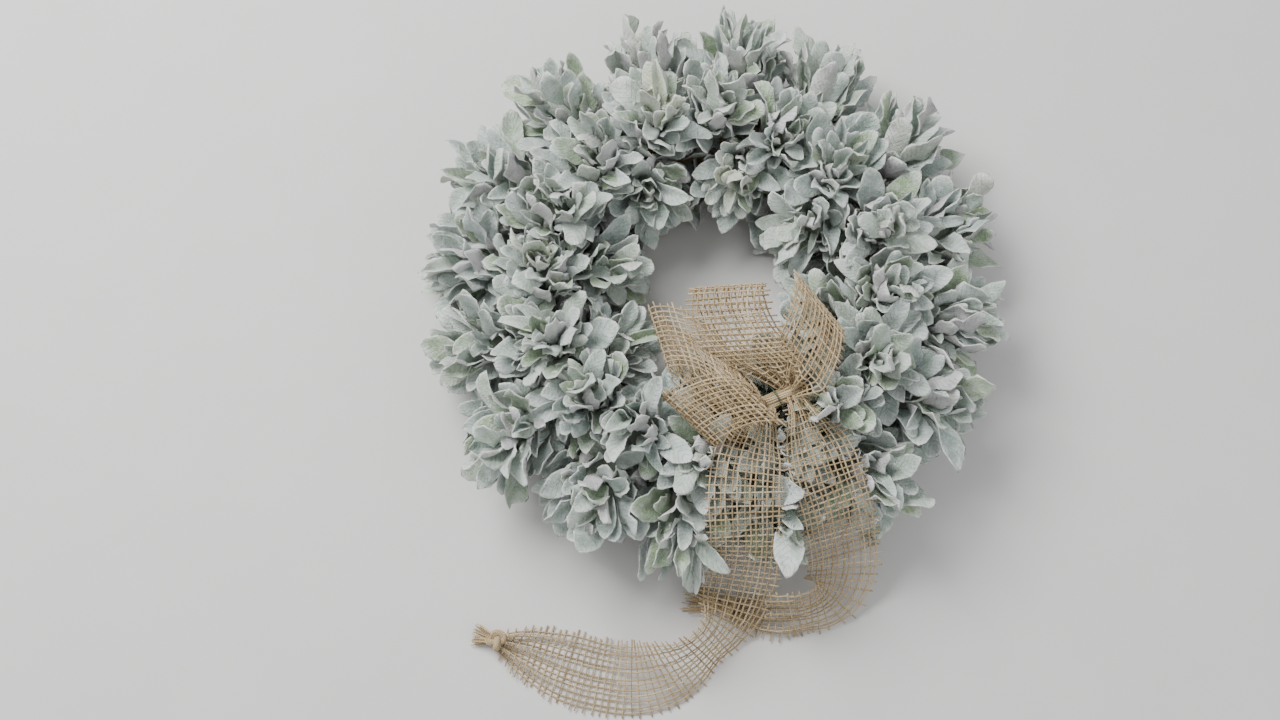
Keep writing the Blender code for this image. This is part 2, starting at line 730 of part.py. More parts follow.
def grow_sprigs(ring, others, finish):
    """All the sprigs: the largest leaves of every sprig find their place first."""
    crowd, kin = Crowd(), Crowd()
    for obj in [ring, *others]:
        crowd.add(obj.name, *mesh_of(obj))
    sprigs = [(row, turn) for row in ROWS for turn in range(0, TURNS, ROWS[row]["every"])]
    straw = tree_of(*mesh_of(ring))
    stems = {sprig: place_stem(crowd, straw, *sprig) for sprig in sprigs}
    grown = {sprig: [] for sprig in sprigs}
    for level in range(len(PAIRS)):
        for sprig in [s for s in sprigs if level < ROWS[s[0]]["pairs"]]:
            for hand in (0, 1):
                leaf = place_leaf(crowd, kin, stems[sprig], *sprig, level, hand)
                if leaf:
                    grown[sprig].append((leaf, stations_of(level)))
    print("leaves", sum(len(leaves) for leaves in grown.values()))
    for (row, turn), leaves in grown.items():
        stem = solid(f"sprig_{row}_{turn + 1:02d}", *stem_parts(stems[row, turn]), finish)
        blades = [solid("blade", *leaf_parts(*leaf), finish) for leaf in leaves]
        combine(stem, blades, "UNION", "MANIFOLD")


def stand_on_origin():
    """Moves every piece so that the middle of the part's footprint is the origin."""
    pieces = [o for o in bpy.context.scene.objects if o.type == "MESH"]
    corners = np.vstack([mesh_of(o)[0] for o in pieces])
    middle = (corners.min(axis=0) + corners.max(axis=0)) / 2
    middle[2] = corners[:, 2].min()
    for obj in pieces:
        obj.data.transform(Matrix.Translation(-middle))
    print("ring centre moved by", -middle)


def main():
    clear_scene()
    leaf, straw, jute = material("leaf"), material("straw"), material("jute")
    steel = material("wire", roughness=0.45, metallic=0.8)
    ring = make_ring(straw)
    tie_hole = tie_tube("tie_hole", TIE_RADIUS + GAP * 1.5, TIE_DEPTH + GAP, straw)
    combine(ring, [notch(turn, straw) for turn in range(TURNS)] + [tie_hole], "DIFFERENCE")
    wire = make_wire(steel)
    tie = tie_tube("bow_wire", TIE_RADIUS, TIE_DEPTH, steel)
    ribbon = make_ribbon(jute)
    grow_sprigs(ring, [wire, tie, ribbon], leaf)
    stand_on_origin()


main()
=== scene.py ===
import math
import random

import bpy
import numpy as np
from mathutils import Matrix, Vector
from mathutils.bvhtree import BVHTree


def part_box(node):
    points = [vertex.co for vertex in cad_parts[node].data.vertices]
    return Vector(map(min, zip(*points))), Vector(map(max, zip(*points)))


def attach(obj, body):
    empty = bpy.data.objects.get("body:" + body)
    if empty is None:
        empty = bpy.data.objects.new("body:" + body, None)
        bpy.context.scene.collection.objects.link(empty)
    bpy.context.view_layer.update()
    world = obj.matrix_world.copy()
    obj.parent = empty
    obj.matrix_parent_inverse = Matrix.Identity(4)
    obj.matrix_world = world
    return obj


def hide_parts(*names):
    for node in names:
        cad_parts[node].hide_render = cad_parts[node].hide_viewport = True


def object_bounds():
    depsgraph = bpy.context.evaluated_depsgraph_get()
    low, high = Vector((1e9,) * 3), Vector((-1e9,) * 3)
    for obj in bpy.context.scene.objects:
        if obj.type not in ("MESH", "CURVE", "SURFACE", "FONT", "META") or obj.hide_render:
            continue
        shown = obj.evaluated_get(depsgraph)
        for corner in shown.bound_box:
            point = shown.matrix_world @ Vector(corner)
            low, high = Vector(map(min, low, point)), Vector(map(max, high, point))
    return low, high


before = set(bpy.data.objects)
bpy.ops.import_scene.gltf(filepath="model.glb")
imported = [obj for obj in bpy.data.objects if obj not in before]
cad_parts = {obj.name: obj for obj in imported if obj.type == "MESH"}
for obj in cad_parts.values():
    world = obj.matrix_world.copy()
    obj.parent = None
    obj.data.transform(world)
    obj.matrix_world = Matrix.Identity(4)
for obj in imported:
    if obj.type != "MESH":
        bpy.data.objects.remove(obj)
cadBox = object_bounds()
mm = 0.001
upward = np.array([0.0, 0.0, 1.0])

# everything is made round the middle of the straw ring, and moved to the ring's place at the end
roll = {"ringRadius": 130 * mm, "tubeRadius": 25 * mm, "tubeHeight": 23 * mm, "turns": 16, "gap": 0.3 * mm}
lowCorner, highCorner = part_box("straw_ring")
ringCentre = np.array([(lowCorner.x + highCorner.x) / 2, (lowCorner.y + highCorner.y) / 2, 0.0])


# Node trees, written as plain sums

class Field:
    # one value inside a node tree
    def __init__(self, socket):
        self.socket = socket
        self.tree = socket.id_data

    def isVector(self):
        return self.socket.type in ("VECTOR", "RGBA")

    def __add__(self, other):
        return work(self.tree, "ADD", self, other)

    def __sub__(self, other):
        return work(self.tree, "SUBTRACT", self, other)

    def __rsub__(self, other):
        return work(self.tree, "SUBTRACT", other, self)

    def __mul__(self, other):
        if self.isVector() and not isVector(other):
            return addNode(self.tree, "ShaderNodeVectorMath", {0: self, "Scale": other}, operation="SCALE")
        if isVector(other) and not self.isVector():
            return addNode(self.tree, "ShaderNodeVectorMath", {0: other, "Scale": self}, operation="SCALE")
        return work(self.tree, "MULTIPLY", self, other)

    def __truediv__(self, other):
        return work(self.tree, "DIVIDE", self, other)

    def __rtruediv__(self, other):
        return work(self.tree, "DIVIDE", other, self)

    def __pow__(self, other):
        return work(self.tree, "POWER", self, other)

    __radd__ = __add__
    __rmul__ = __mul__


def isVector(value):
    return value.isVector() if isinstance(value, Field) else hasattr(value, "__len__")


def feed(socket, value):
    if isinstance(value, Field):
        value.tree.links.new(value.socket, socket)
    else:
        socket.default_value = value


def addNode(tree, kind, inputs=None, output=0, **settings):
    node = tree.nodes.new(kind)
    for name, value in settings.items():
        setattr(node, name, value)
    for key, value in (inputs or {}).items():
        feed(node.inputs[key], value)
    return Field(node.outputs[output])


def work(tree, operation, *values):
    vectors = any(isVector(value) for value in values)
    kind = "ShaderNodeVectorMath" if vectors else "ShaderNodeMath"
    output = 1 if operation in ("LENGTH", "DOT_PRODUCT") else 0
    return addNode(tree, kind, dict(enumerate(values)), output, operation=operation)


def split(value):
    node = value.tree.nodes.new("ShaderNodeSeparateXYZ")
    feed(node.inputs[0], value)
    return [Field(socket) for socket in node.outputs]


def joined(tree, x, y, z):
    return addNode(tree, "ShaderNodeCombineXYZ", {0: x, 1: y, 2: z})


def cloud(tree, vector, scale, detail=2.0):
    return addNode(tree, "ShaderNodeTexNoise", {"Vector": vector, "Scale": scale, "Detail": detail})


def ramp(value, low, high):
    # 0 at low, 1 at high and a smooth step between
    inputs = {0: value, 1: low, 2: high}
    return addNode(value.tree, "ShaderNodeMapRange", inputs, interpolation_type="SMOOTHSTEP")


# Geometry trees

def startTree(name, inputs):
    kinds = {"shape": "Geometry", "size": "Float", "count": "Int", "finish": "Material"}
    tree = bpy.data.node_groups.new(name, "GeometryNodeTree")
    tree.interface.new_socket("Shape", in_out="OUTPUT", socket_type="NodeSocketGeometry")
    for label, kind in {"Shape": "shape", **inputs}.items():
        tree.interface.new_socket(label, in_out="INPUT", socket_type="NodeSocket" + kinds[kind])
    source = tree.nodes.new("NodeGroupInput")
    return tree, {socket.name: Field(socket) for socket in source.outputs if socket.name}


def named(tree, name, kind="FLOAT"):
    return addNode(tree, "GeometryNodeInputNamedAttribute", {"Name": name}, data_type=kind)


def store(shape, name, value):
    inputs = {"Geometry": shape, "Name": name, "Value": value}
    return addNode(shape.tree, "GeometryNodeStoreNamedAttribute", inputs, data_type="FLOAT")


def together(*shapes):
    node = shapes[0].tree.nodes.new("GeometryNodeJoinGeometry")
    for shape in shapes:
        shape.tree.links.new(shape.socket, node.inputs[0])
    return Field(node.outputs[0])


def finishTree(tree, shape, finish):
    shape = addNode(tree, "GeometryNodeRealizeInstances", {0: shape})
    shape = addNode(tree, "GeometryNodeSetShadeSmooth", {0: shape})
    shape = addNode(tree, "GeometryNodeSetMaterial", {0: shape, "Material": finish})
    feed(tree.nodes.new("NodeGroupOutput").inputs[0], shape)
    return tree


def grown(name, source, tree, values, kept):
    # runs the tree on the source mesh and keeps the result as a plain mesh, at the ring's place
    maker = bpy.data.objects.new(name + "Maker", source)
    bpy.context.scene.collection.objects.link(maker)
    modifier = maker.modifiers.new(tree.name, "NODES")
    modifier.node_group = tree
    for item in tree.interface.items_tree:
        if item.name in values:
            modifier[item.identifier] = values[item.name]
    graph = bpy.context.evaluated_depsgraph_get()
    made = bpy.data.meshes.new_from_object(maker.evaluated_get(graph))
    maker.modifiers.clear()
    bpy.data.objects.remove(maker)
    made.materials.clear()
    made.materials.append(values["Finish"])
    for label in [a.name for a in made.attributes if not a.is_internal and not a.is_required]:
        if label not in kept:
            made.attributes.remove(made.attributes[label])
    made.transform(Matrix.Translation(Vector(ringCentre)))
    piece = bpy.data.objects.new(name, made)
    bpy.context.scene.collection.objects.link(piece)
    return piece


def pointCloud(name, points, edges, columns):
    # a mesh of points and edges, with one column of numbers or vectors for each attribute
    mesh = bpy.data.meshes.new(name)
    mesh.from_pydata([tuple(p) for p in points], edges, [])
    for label, values in columns.items():
        values = np.array(values, np.float32)
        kind, slotName = ("FLOAT_VECTOR", "vector") if values.ndim == 2 else ("FLOAT", "value")
        mesh.attributes.new(label, kind, "POINT").data.foreach_set(slotName, values.ravel())
    return mesh


# Finishes

def startFinish(name, roughness, **settings):
    made = bpy.data.materials.new(name)
    made.use_nodes = True
    tree = made.node_tree
    shader = tree.nodes["Principled BSDF"]
    shader.inputs["Roughness"].default_value = roughness
    for label, value in settings.items():
        shader.inputs[label.replace("_", " ")].default_value = value
    return made, tree, shader


def attribute(tree, name):
    return addNode(tree, "ShaderNodeAttribute", output=2, attribute_name=name)


def objectPlace(tree):
    return addNode(tree, "ShaderNodeTexCoord", output=3)


def blendColour(tree, factor, first, second):
    node = tree.nodes.new("ShaderNodeMix")
    node.data_type = "RGBA"
    for index, value in ((0, factor), (6, first), (7, second)):
        feed(node.inputs[index], value if isinstance(value, Field) or index == 0 else (*value, 1.0))
    return Field(node.outputs[2])


def colourSteps(factor, steps):
    node = factor.tree.nodes.new("ShaderNodeValToRGB")
    feed(node.inputs[0], factor)
    marks = node.color_ramp.elements
    while len(marks) < len(steps):
        marks.new(1.0)
    for mark, (place, colour) in zip(marks, steps):
        mark.position = place
        mark.color = (*colour, 1.0)
    return Field(node.outputs[0])


def raised(tree, shader, height, distance, strength=1.0):
    bump = {"Height": height, "Distance": distance, "Strength": strength}
    feed(shader.inputs["Normal"], addNode(tree, "ShaderNodeBump", bump))


def leafFelt():
    # thick silver felt: grey-green above, greyer below, pale at the rim, net veined, with a pale rib; the
    # laid stems and the hearts of the sprigs get painted shade
    made, tree, shader = startFinish("leafFelt", 0.92, Sheen_Weight=0.35, Sheen_Roughness=0.55)
    place = objectPlace(tree)
    share, across = attribute(tree, "share"), attribute(tree, "across")
    skin, tone = attribute(tree, "skin"), attribute(tree, "tone")
    paintedShade, young = attribute(tree, "paintedShade"), attribute(tree, "young")
    side = work(tree, "ABSOLUTE", across)
    upper = colourSteps(tone, leafTones["upper"])
    lower = colourSteps(tone, leafTones["lower"])
    colour = blendColour(tree, ramp(skin, -0.25, 0.25), lower, upper)
    colour = blendColour(tree, young * 0.85, colour, leafTones["young"])
    rim = ramp(work(tree, "MAXIMUM", side, share), 0.8, 1.0) * ramp(share, 0.02, 0.2) * 0.8
    colour = blendColour(tree, rim, colour, leafTones["rim"])
    rib = (1.0 - ramp(side, 0.02, 0.1)) * (1.0 - share) * 0.45
    colour = blendColour(tree, rib, colour, leafTones["rim"])
    patches = cloud(tree, place, 110.0, 3.0)
    colour = blendColour(tree, ramp(patches, 0.42, 0.68) * 0.4, colour, leafTones["pale"])
    colour = blendColour(tree, ramp(patches, 0.55, 0.32) * 0.4, colour, leafTones["green"])
    fluff = cloud(tree, place, 900.0, 3.0)
    colour = blendColour(tree, ramp(fluff, 0.4, 0.65) * 0.3, colour, leafTones["rim"])
    # painted shade: the laid stems and the hearts of the sprigs are darkened as if they lay in shadow among
    # the leaves
    colour = blendColour(tree, paintedShade, colour, leafTones["paintedShade"])
    feed(shader.inputs["Base Color"], colour)
    veins = work(tree, "ABSOLUTE", work(tree, "SINE", (share * 9.0 - side * 2.2) * math.pi))
    net = addNode(tree, "ShaderNodeTexVoronoi", {"Vector": place, "Scale": 420.0}, feature="DISTANCE_TO_EDGE")
    quilt = work(tree, "MINIMUM", net * 3.0, 1.0)
    height = work(tree, "MINIMUM", veins * 3.0, 1.0) * 0.5 + quilt * 0.35 + fluff * 0.6 + patches * 0.8
    raised(tree, shader, height, 0.8 * mm, 0.9)
    return made


leafTones = {
    "upper": [(0.0, (0.28, 0.38, 0.35)), (0.35, (0.41, 0.52, 0.47)), (0.65, (0.58, 0.65, 0.61)),
              (0.86, (0.28, 0.40, 0.22)), (1.0, (0.21, 0.33, 0.13))],
    "lower": [(0.0, (0.46, 0.41, 0.45)), (0.5, (0.62, 0.57, 0.60)), (1.0, (0.44, 0.48, 0.38))],
    "young": (0.74, 0.77, 0.50),
    "rim": (0.88, 0.90, 0.83),
    "pale": (0.78, 0.82, 0.82),
    "green": (0.27, 0.36, 0.27),
    # the colour of the painted shade on the stems and hearts
    "paintedShade": (0.10, 0.12, 0.08),
}


def juteYarn():
    # coarse twisted fibre, from straw yellow to brown, with painted shade in the grooves between the turns of
    # the twist
    made, tree, shader = startFinish("juteYarn", 0.85, Sheen_Weight=0.15, Sheen_Roughness=0.5)
    place, run, tone = objectPlace(tree), attribute(tree, "run"), attribute(tree, "tone")
    fibres = cloud(tree, place, 1500.0, 4.0)
    stretch = cloud(tree, place, 130.0, 2.0)
    colour = colourSteps(tone * 0.6 + stretch * 0.4, juteTones)
    twist = work(tree, "ABSOLUTE", work(tree, "SINE", run * (math.pi / (1.6 * mm)) + fibres * 3.0))
    # painted shade: the grooves of the twist, where the bump sinks, are darkened towards dark brown
    colour = blendColour(tree, (1.0 - twist) * 0.45, colour, (0.20, 0.13, 0.07))
    feed(shader.inputs["Base Color"], colour)
    raised(tree, shader, twist * 0.7 + fibres * 0.6, 0.25 * mm)
    return made


juteTones = [(0.15, (0.36, 0.25, 0.125)), (0.4, (0.52, 0.39, 0.215)), (0.7, (0.65, 0.51, 0.31)),
             (0.95, (0.80, 0.68, 0.46))]


def strawStalk():
    made, tree, shader = startFinish("strawStalk", 0.6)
    place, run, tone = objectPlace(tree), attribute(tree, "run"), attribute(tree, "tone")
    steps = [(0.1, (0.30, 0.20, 0.08)), (0.5, (0.52, 0.39, 0.18)), (0.9, (0.66, 0.54, 0.30))]
    streaks = cloud(tree, place * (1.0, 1.0, 4.0), 260.0, 3.0)
    colour = colourSteps(tone * 0.7 + streaks * 0.3, steps)
    knots = ramp(work(tree, "SINE", run * 90.0), 0.96, 1.0)
    feed(shader.inputs["Base Color"], blendColour(tree, knots * 0.6, colour, (0.24, 0.15, 0.06)))
    raised(tree, shader, streaks, 0.2 * mm)
    return made


def greenWire():
    # painted iron wire: the lacquer is worn through in places
    made, tree, shader = startFinish("greenWire", 0.42, Metallic=0.7)
    worn = ramp(cloud(tree, objectPlace(tree), 400.0, 4.0), 0.5, 0.68)
    feed(shader.inputs["Base Color"], blendColour(tree, worn, (0.07, 0.12, 0.07), (0.32, 0.33, 0.31)))
    feed(shader.inputs["Roughness"], worn * -0.15 + 0.48)
    return made


def palePaper():
    made, tree, shader = startFinish("palePaper", 0.95)
    mottled = cloud(tree, objectPlace(tree), 14.0, 4.0)
    feed(shader.inputs["Base Color"], blendColour(tree, mottled, (0.70, 0.69, 0.67), (0.76, 0.75, 0.73)))
    return made


feltFinish, juteFinish, strawFinish, wireFinish = leafFelt(), juteYarn(), strawStalk(), greenWire()
print("finishes made")


# Small sums on points and directions

def unit(vector):
    return vector / np.linalg.norm(vector)


def turned(vector, axis, angle):
    ahead = vector * math.cos(angle) + np.cross(axis, vector) * math.sin(angle)
    return ahead + axis * np.dot(axis, vector) * (1 - math.cos(angle))


def smooth(value):
    value = min(max(value, 0.0), 1.0)
    return value * value * (3 - 2 * value)


def directions(path):
    steps = np.gradient(path, axis=0)
    return steps / np.linalg.norm(steps, axis=1)[:, None]


def splined(stations, steps):
    # a smooth curve through rows of numbers
    rows = np.array(stations, float)
    rows = np.vstack([2 * rows[0] - rows[1], rows, 2 * rows[-1] - rows[-2]])
    made = []
    for i in range(1, len(rows) - 2):
        p0, p1, p2, p3 = rows[i - 1 : i + 3]
        for t in np.arange(steps) / steps:
            cubic = (3 * p1 - p0 - 3 * p2 + p3) * t ** 3
            made.append(0.5 * (2 * p1 + (p2 - p0) * t + (2 * p0 - 5 * p1 + 4 * p2 - p3) * t * t + cubic))
    made.append(rows[-2])
    return np.array(made)


def rollNormal(theta, phi):
    outward = np.array([math.cos(theta), math.sin(theta), 0.0])
    return outward * math.cos(phi) + upward * math.sin(phi)


def rollPoint(theta, phi, distance):
    middle = roll["ringRadius"] * np.array([math.cos(theta), math.sin(theta), 0.0])
    return middle + upward * roll["tubeHeight"] + rollNormal(theta, phi) * distance


# Strands: a tube along every line of the source mesh

def strandTree():
    tree, given = startTree("strands", {"Shape": "shape", "Sides": "count", "Finish": "finish"})
    curve = addNode(tree, "GeometryNodeMeshToCurve", {0: given["Shape"]})
    curve = store(curve, "run", addNode(tree, "GeometryNodeSplineParameter", output=1))
    profile = addNode(tree, "GeometryNodeCurvePrimitiveCircle", {"Resolution": given["Sides"], "Radius": 1.0})
    inputs = {0: curve, 1: profile, "Scale": named(tree, "thick"), "Fill Caps": True}
    return finishTree(tree, addNode(tree, "GeometryNodeCurveToMesh", inputs), given["Finish"])


strandMaker = strandTree()


class Lines:
    # open lines that are gathered first and made tubes together
    def __init__(self):
        self.points, self.edges, self.thick, self.tone = [], [], [], []

    def add(self, path, radius, tone):
        first = len(self.points)
        self.points += list(path)
        self.edges += [(i, i + 1) for i in range(first, len(self.points) - 1)]
        self.thick += list(np.broadcast_to(radius, len(path)))
        self.tone += [tone] * len(path)

    def made(self, name, sides, finish):
        source = pointCloud(name + "Lines", self.points, self.edges, {"thick": self.thick, "tone": self.tone})
        return grown(name, source, strandMaker, {"Sides": sides, "Finish": finish}, {"run", "tone"})


# Straw roll

straw = {"stalks": 900, "radius": 1.1 * mm, "length": 95 * mm, "points": 9, "sides": 6, "seed": 3}


def makeStraw():
    # long stalks laid round the ring in three layers, so thickly that they are the roll
    draw, lines = random.Random(straw["seed"]), Lines()
    foot = math.asin(roll["tubeHeight"] / roll["tubeRadius"])
    for number in range(straw["stalks"]):
        layer = number % 3
        distance = roll["tubeRadius"] - straw["radius"] * (1 + 1.7 * layer) - 0.2 * mm
        phi = draw.uniform(-foot, math.pi + foot)
        drift = draw.uniform(-0.25, 0.25)
        theta = draw.uniform(0, 2 * math.pi)
        sweep = straw["length"] * draw.uniform(0.6, 1.2) / roll["ringRadius"]
        thick = straw["radius"] * draw.uniform(0.7, 1.0)
        path = []
        for share in np.linspace(0, 1, straw["points"]):
            angle = min(max(phi + drift * (share - 0.5), -foot), math.pi + foot)
            path.append(rollPoint(theta + sweep * share, angle, distance))
            path[-1][2] = max(path[-1][2], thick)
        lines.add(path, thick, draw.random())
    return lines.made("strawRoll", straw["sides"], strawFinish)


# Wires

wire = {"radius": 0.45 * mm, "stemLayer": 3.6 * mm, "chordRoom": 0.75 * mm, "turnSteps": 30, "sides": 8}
tie = {"radius": 0.6 * mm, "depth": 9 * mm, "sides": 8}


def wireDistance(phi):
    degrees = math.degrees(phi)
    over = smooth((degrees + 38) / 30) * smooth((218 - degrees) / 30)
    return roll["tubeRadius"] + roll["gap"] + wire["radius"] + wire["chordRoom"] + wire["stemLayer"] * over


def wireTheta(turn, phi):
    pitch = 2 * math.pi / roll["turns"]
    return turn * pitch + pitch * smooth((math.degrees(phi) + 30) / 240)


def makeBindingWire():
    lowest = roll["tubeHeight"] - roll["gap"] - wire["radius"]
    corner = math.asin(lowest / wireDistance(-math.pi / 3))
    path = []
    for turn in range(roll["turns"]):
        for phi in np.linspace(-corner, math.pi + corner, wire["turnSteps"]):
            path.append(rollPoint(wireTheta(turn, phi), phi, wireDistance(phi)))
    lines = Lines()
    lines.add(path, wire["radius"], 0.5)
    return lines.made("bindingWire", wire["sides"], wireFinish)


# Jute ribbon: an open net, gathered at the waist of its bow

ribbon = {"width": 50 * mm, "thick": 1.2 * mm, "gathered": 0.2, "warps": 13, "weftPitch": 4.9 * mm,
          "yarn": 0.64 * mm, "sides": 5, "overWeave": 0.42 * mm, "ends": 4.6 * mm, "pleats": 3, "seed": 8}
waist = {"middle": np.array([44, -95, 92]) * mm, "radius": 7.5 * mm, "turn": 30, "gatheredAt": 12 * mm}
# the middle of each far fold, its direction and tilt, how far the loop bellies up, sways left and leans back
loops = [
    dict(end=-1, fold=(-41, -53, 101), line=-74, tip=10, belly=16, sway=-6, back=0),
    dict(end=1, fold=(10, -15, 108), line=2, tip=6, belly=20, sway=14, back=0),
    dict(end=1, fold=(75, -27, 110), line=-51, tip=-6, belly=26, sway=-5, back=0),
    dict(end=-1, fold=(-20, -112, 97), line=-44, tip=-4, belly=33, sway=-4, back=12),
]
# x, y, height of the lower edge, bank of the width and width, from the waist to the knot
tails = {
    "Left": dict(end=-1, rows=[
        (30, -114, 97, 0, 28), (23, -135, 98, 0, 46), (20, -157, 96, 0, 50), (20, -176, 88, 0, 50),
        (21, -195, 70, 0, 50), (20, -212, 46, -2, 50), (16, -230, 22, -14, 50), (9, -248, 6, -44, 50),
        (-5, -265, 1, -60, 50), (-26, -280, 1, -40, 50), (-54, -287, 1, -12, 50), (-84, -284, 1, 0, 50),
        (-112, -276, 1, 0, 48), (-138, -266, 1.6, 0, 34), (-156, -260, 5, 0, 14)], fray=9 * mm),
    "Right": dict(end=1, rows=[
        (61, -104, 97, 0, 18), (67, -120, 97, 0, 36), (73, -136, 97, 0, 48), (78, -152, 96, 0, 50),
        (85, -170, 84, 0, 50),
        (91, -189, 62, 0, 50), (95, -205, 36, -6, 50), (93, -220, 14, -24, 50), (85, -232, 3, -48, 50),
        (69, -240, 1, -62, 50), (51, -242, 1, -56, 44), (32, -240, 2, -30, 26), (15, -235, 5, 0, 13)],
        fray=24 * mm),
}


def waistAxis():
    turn = math.radians(waist["turn"])
    return np.array([math.cos(turn), math.sin(turn), 0.0])


def gatheredAt(end):
    return waist["middle"] + waistAxis() * end * waist["gatheredAt"]


def loopStrip(end, fold, line, tip, belly, sway, back):
    # out over the top to the far fold and back below, flatter than it went
    start, line, tip = gatheredAt(end), math.radians(line), math.radians(tip)
    out = np.array(fold) * mm - start
    across = np.array([math.cos(line) * math.cos(tip), math.sin(line) * math.cos(tip), math.sin(tip)])
    bulge = unit(np.cross(out, across))
    bulge = bulge * np.sign(bulge[2])
    turn = np.linspace(0.0, 2 * math.pi, 160)
    over = turn < math.pi
    swell = np.sin(turn) * np.sin(turn / 2) ** 0.5 * np.where(over, 1.0, 0.4)
    reach = (1 - np.cos(turn))[:, None] / 2
    early, late = 4 * reach * (1 - reach), 6.75 * reach ** 2 * (1 - reach)
    aside = unit(np.cross(upward, out)) * sway * mm * late - unit(out) * back * mm * early
    aside = aside * np.where(over, 1.0, 0.5)[:, None]
    path = start + out * reach + bulge * (belly * mm * swell)[:, None] + aside
    openShare = np.clip(np.sin(turn / 2) * 1.8, 0, 1) ** 2
    widths = ribbon["width"] * (ribbon["gathered"] + (1 - ribbon["gathered"]) * openShare)
    return path, np.repeat([across], len(path), axis=0), widths


def tailStrip(end, rows):
    start = (*gatheredAt(end) / mm, 0, ribbon["width"] * ribbon["gathered"] / mm)
    made = splined([start, *rows], 12)
    path, bank, widths = made[:, :3] * mm, np.radians(made[:, 3]), made[:, 4] * mm
    lowest = np.maximum(path[:, 2], 0.4 * mm)
    path[:, 2] = lowest + np.abs(np.sin(bank)) * widths / 2 + ribbon["thick"] / 2
    across = []
    for along, tip in zip(directions(path), bank):
        across.append(turned(unit(np.cross(upward, along)), along, tip))
    return path, np.array(across), widths


class Net:
    # a strip of open weave, which gives the point at any run along it, side of it and lift off it
    def __init__(self, path, across, widths):
        steps = np.linalg.norm(np.diff(path, axis=0), axis=1)
        self.runs = np.concatenate([[0.0], np.cumsum(steps)])
        facing = np.cross(directions(path), across)
        facing /= np.linalg.norm(facing, axis=1)[:, None]
        self.columns = np.column_stack([path, across, facing, widths])
        self.length = self.runs[-1]

    def points(self, runs, sides, lifts):
        runs, sides, lifts = np.broadcast_arrays(runs, sides, lifts)
        at = np.column_stack([np.interp(runs, self.runs, column) for column in self.columns.T])
        path, across, facing, width = at[:, 0:3], at[:, 3:6], at[:, 6:9], at[:, 9]
        slack = np.sqrt(np.maximum(ribbon["width"] ** 2 - width ** 2, 0)) / (4 * ribbon["pleats"])
        pleat = slack * np.cos(math.pi * ribbon["pleats"] * sides + 0.6) * 0.8
        made = path + across * (sides * width / 2)[:, None] + facing * (pleat + lifts)[:, None]
        made[:, 2] = np.maximum(made[:, 2], ribbon["yarn"] + 0.1 * mm)
        return made

    def weave(self, lines, draw):
        count = max(int(self.length / ribbon["weftPitch"]), 2)
        pitch = self.length / count
        warps = np.linspace(-0.97, 0.97, ribbon["warps"])
        stations = np.arange(2 * count + 1) * pitch / 2
        # odd half stations lie between two wefts, where a warp is level
        level = np.where(np.arange(2 * count + 1) % 2 == 0, 0.0, 1.0)
        for i, side in enumerate(warps):
            sense = np.where((np.arange(2 * count + 1) // 2 + i) % 2 == 0, 1.0, -1.0)
            wander = np.cumsum([draw.uniform(-1, 1) for _ in stations])
            wander = 0.007 * (wander - np.linspace(0, wander[-1], len(wander)))
            radius = ribbon["yarn"] * draw.uniform(0.85, 1.15)
            sides = np.clip(side + wander, -1.02, 1.02)
            lifts = sense * level * ribbon["overWeave"]
            lines.add(self.points(stations, sides, lifts), radius, draw.random())
        for k in range(count):
            run = (k + 0.5) * pitch
            slant, bow = draw.uniform(-1, 1) * 0.6 * mm, draw.uniform(-1, 1) * 0.6 * mm
            between = (warps[1:] + warps[:-1]) / 2
            sides = np.sort(np.concatenate([warps, between]))
            sense = np.zeros(len(sides))
            sense[0::2] = [-1.0 if (k + i) % 2 == 0 else 1.0 for i in range(len(warps))]
            width = np.interp(run, self.runs, self.columns[:, 9])
            stub = [ribbon["ends"] * draw.uniform(0.6, 1.2) * 2 / width for _ in range(2)]
            sides = np.concatenate([[-0.97 - stub[0]], sides, [0.97 + stub[1]]])
            lifts = np.concatenate([[draw.uniform(-1, 1)], sense, [draw.uniform(-1, 1)]])
            runs = np.clip(run + slant * sides + bow * sides ** 2, 0, self.length)
            path = self.points(runs, sides, lifts * ribbon["overWeave"])
            lines.add(path, ribbon["yarn"] * draw.uniform(0.8, 1.1), draw.random())


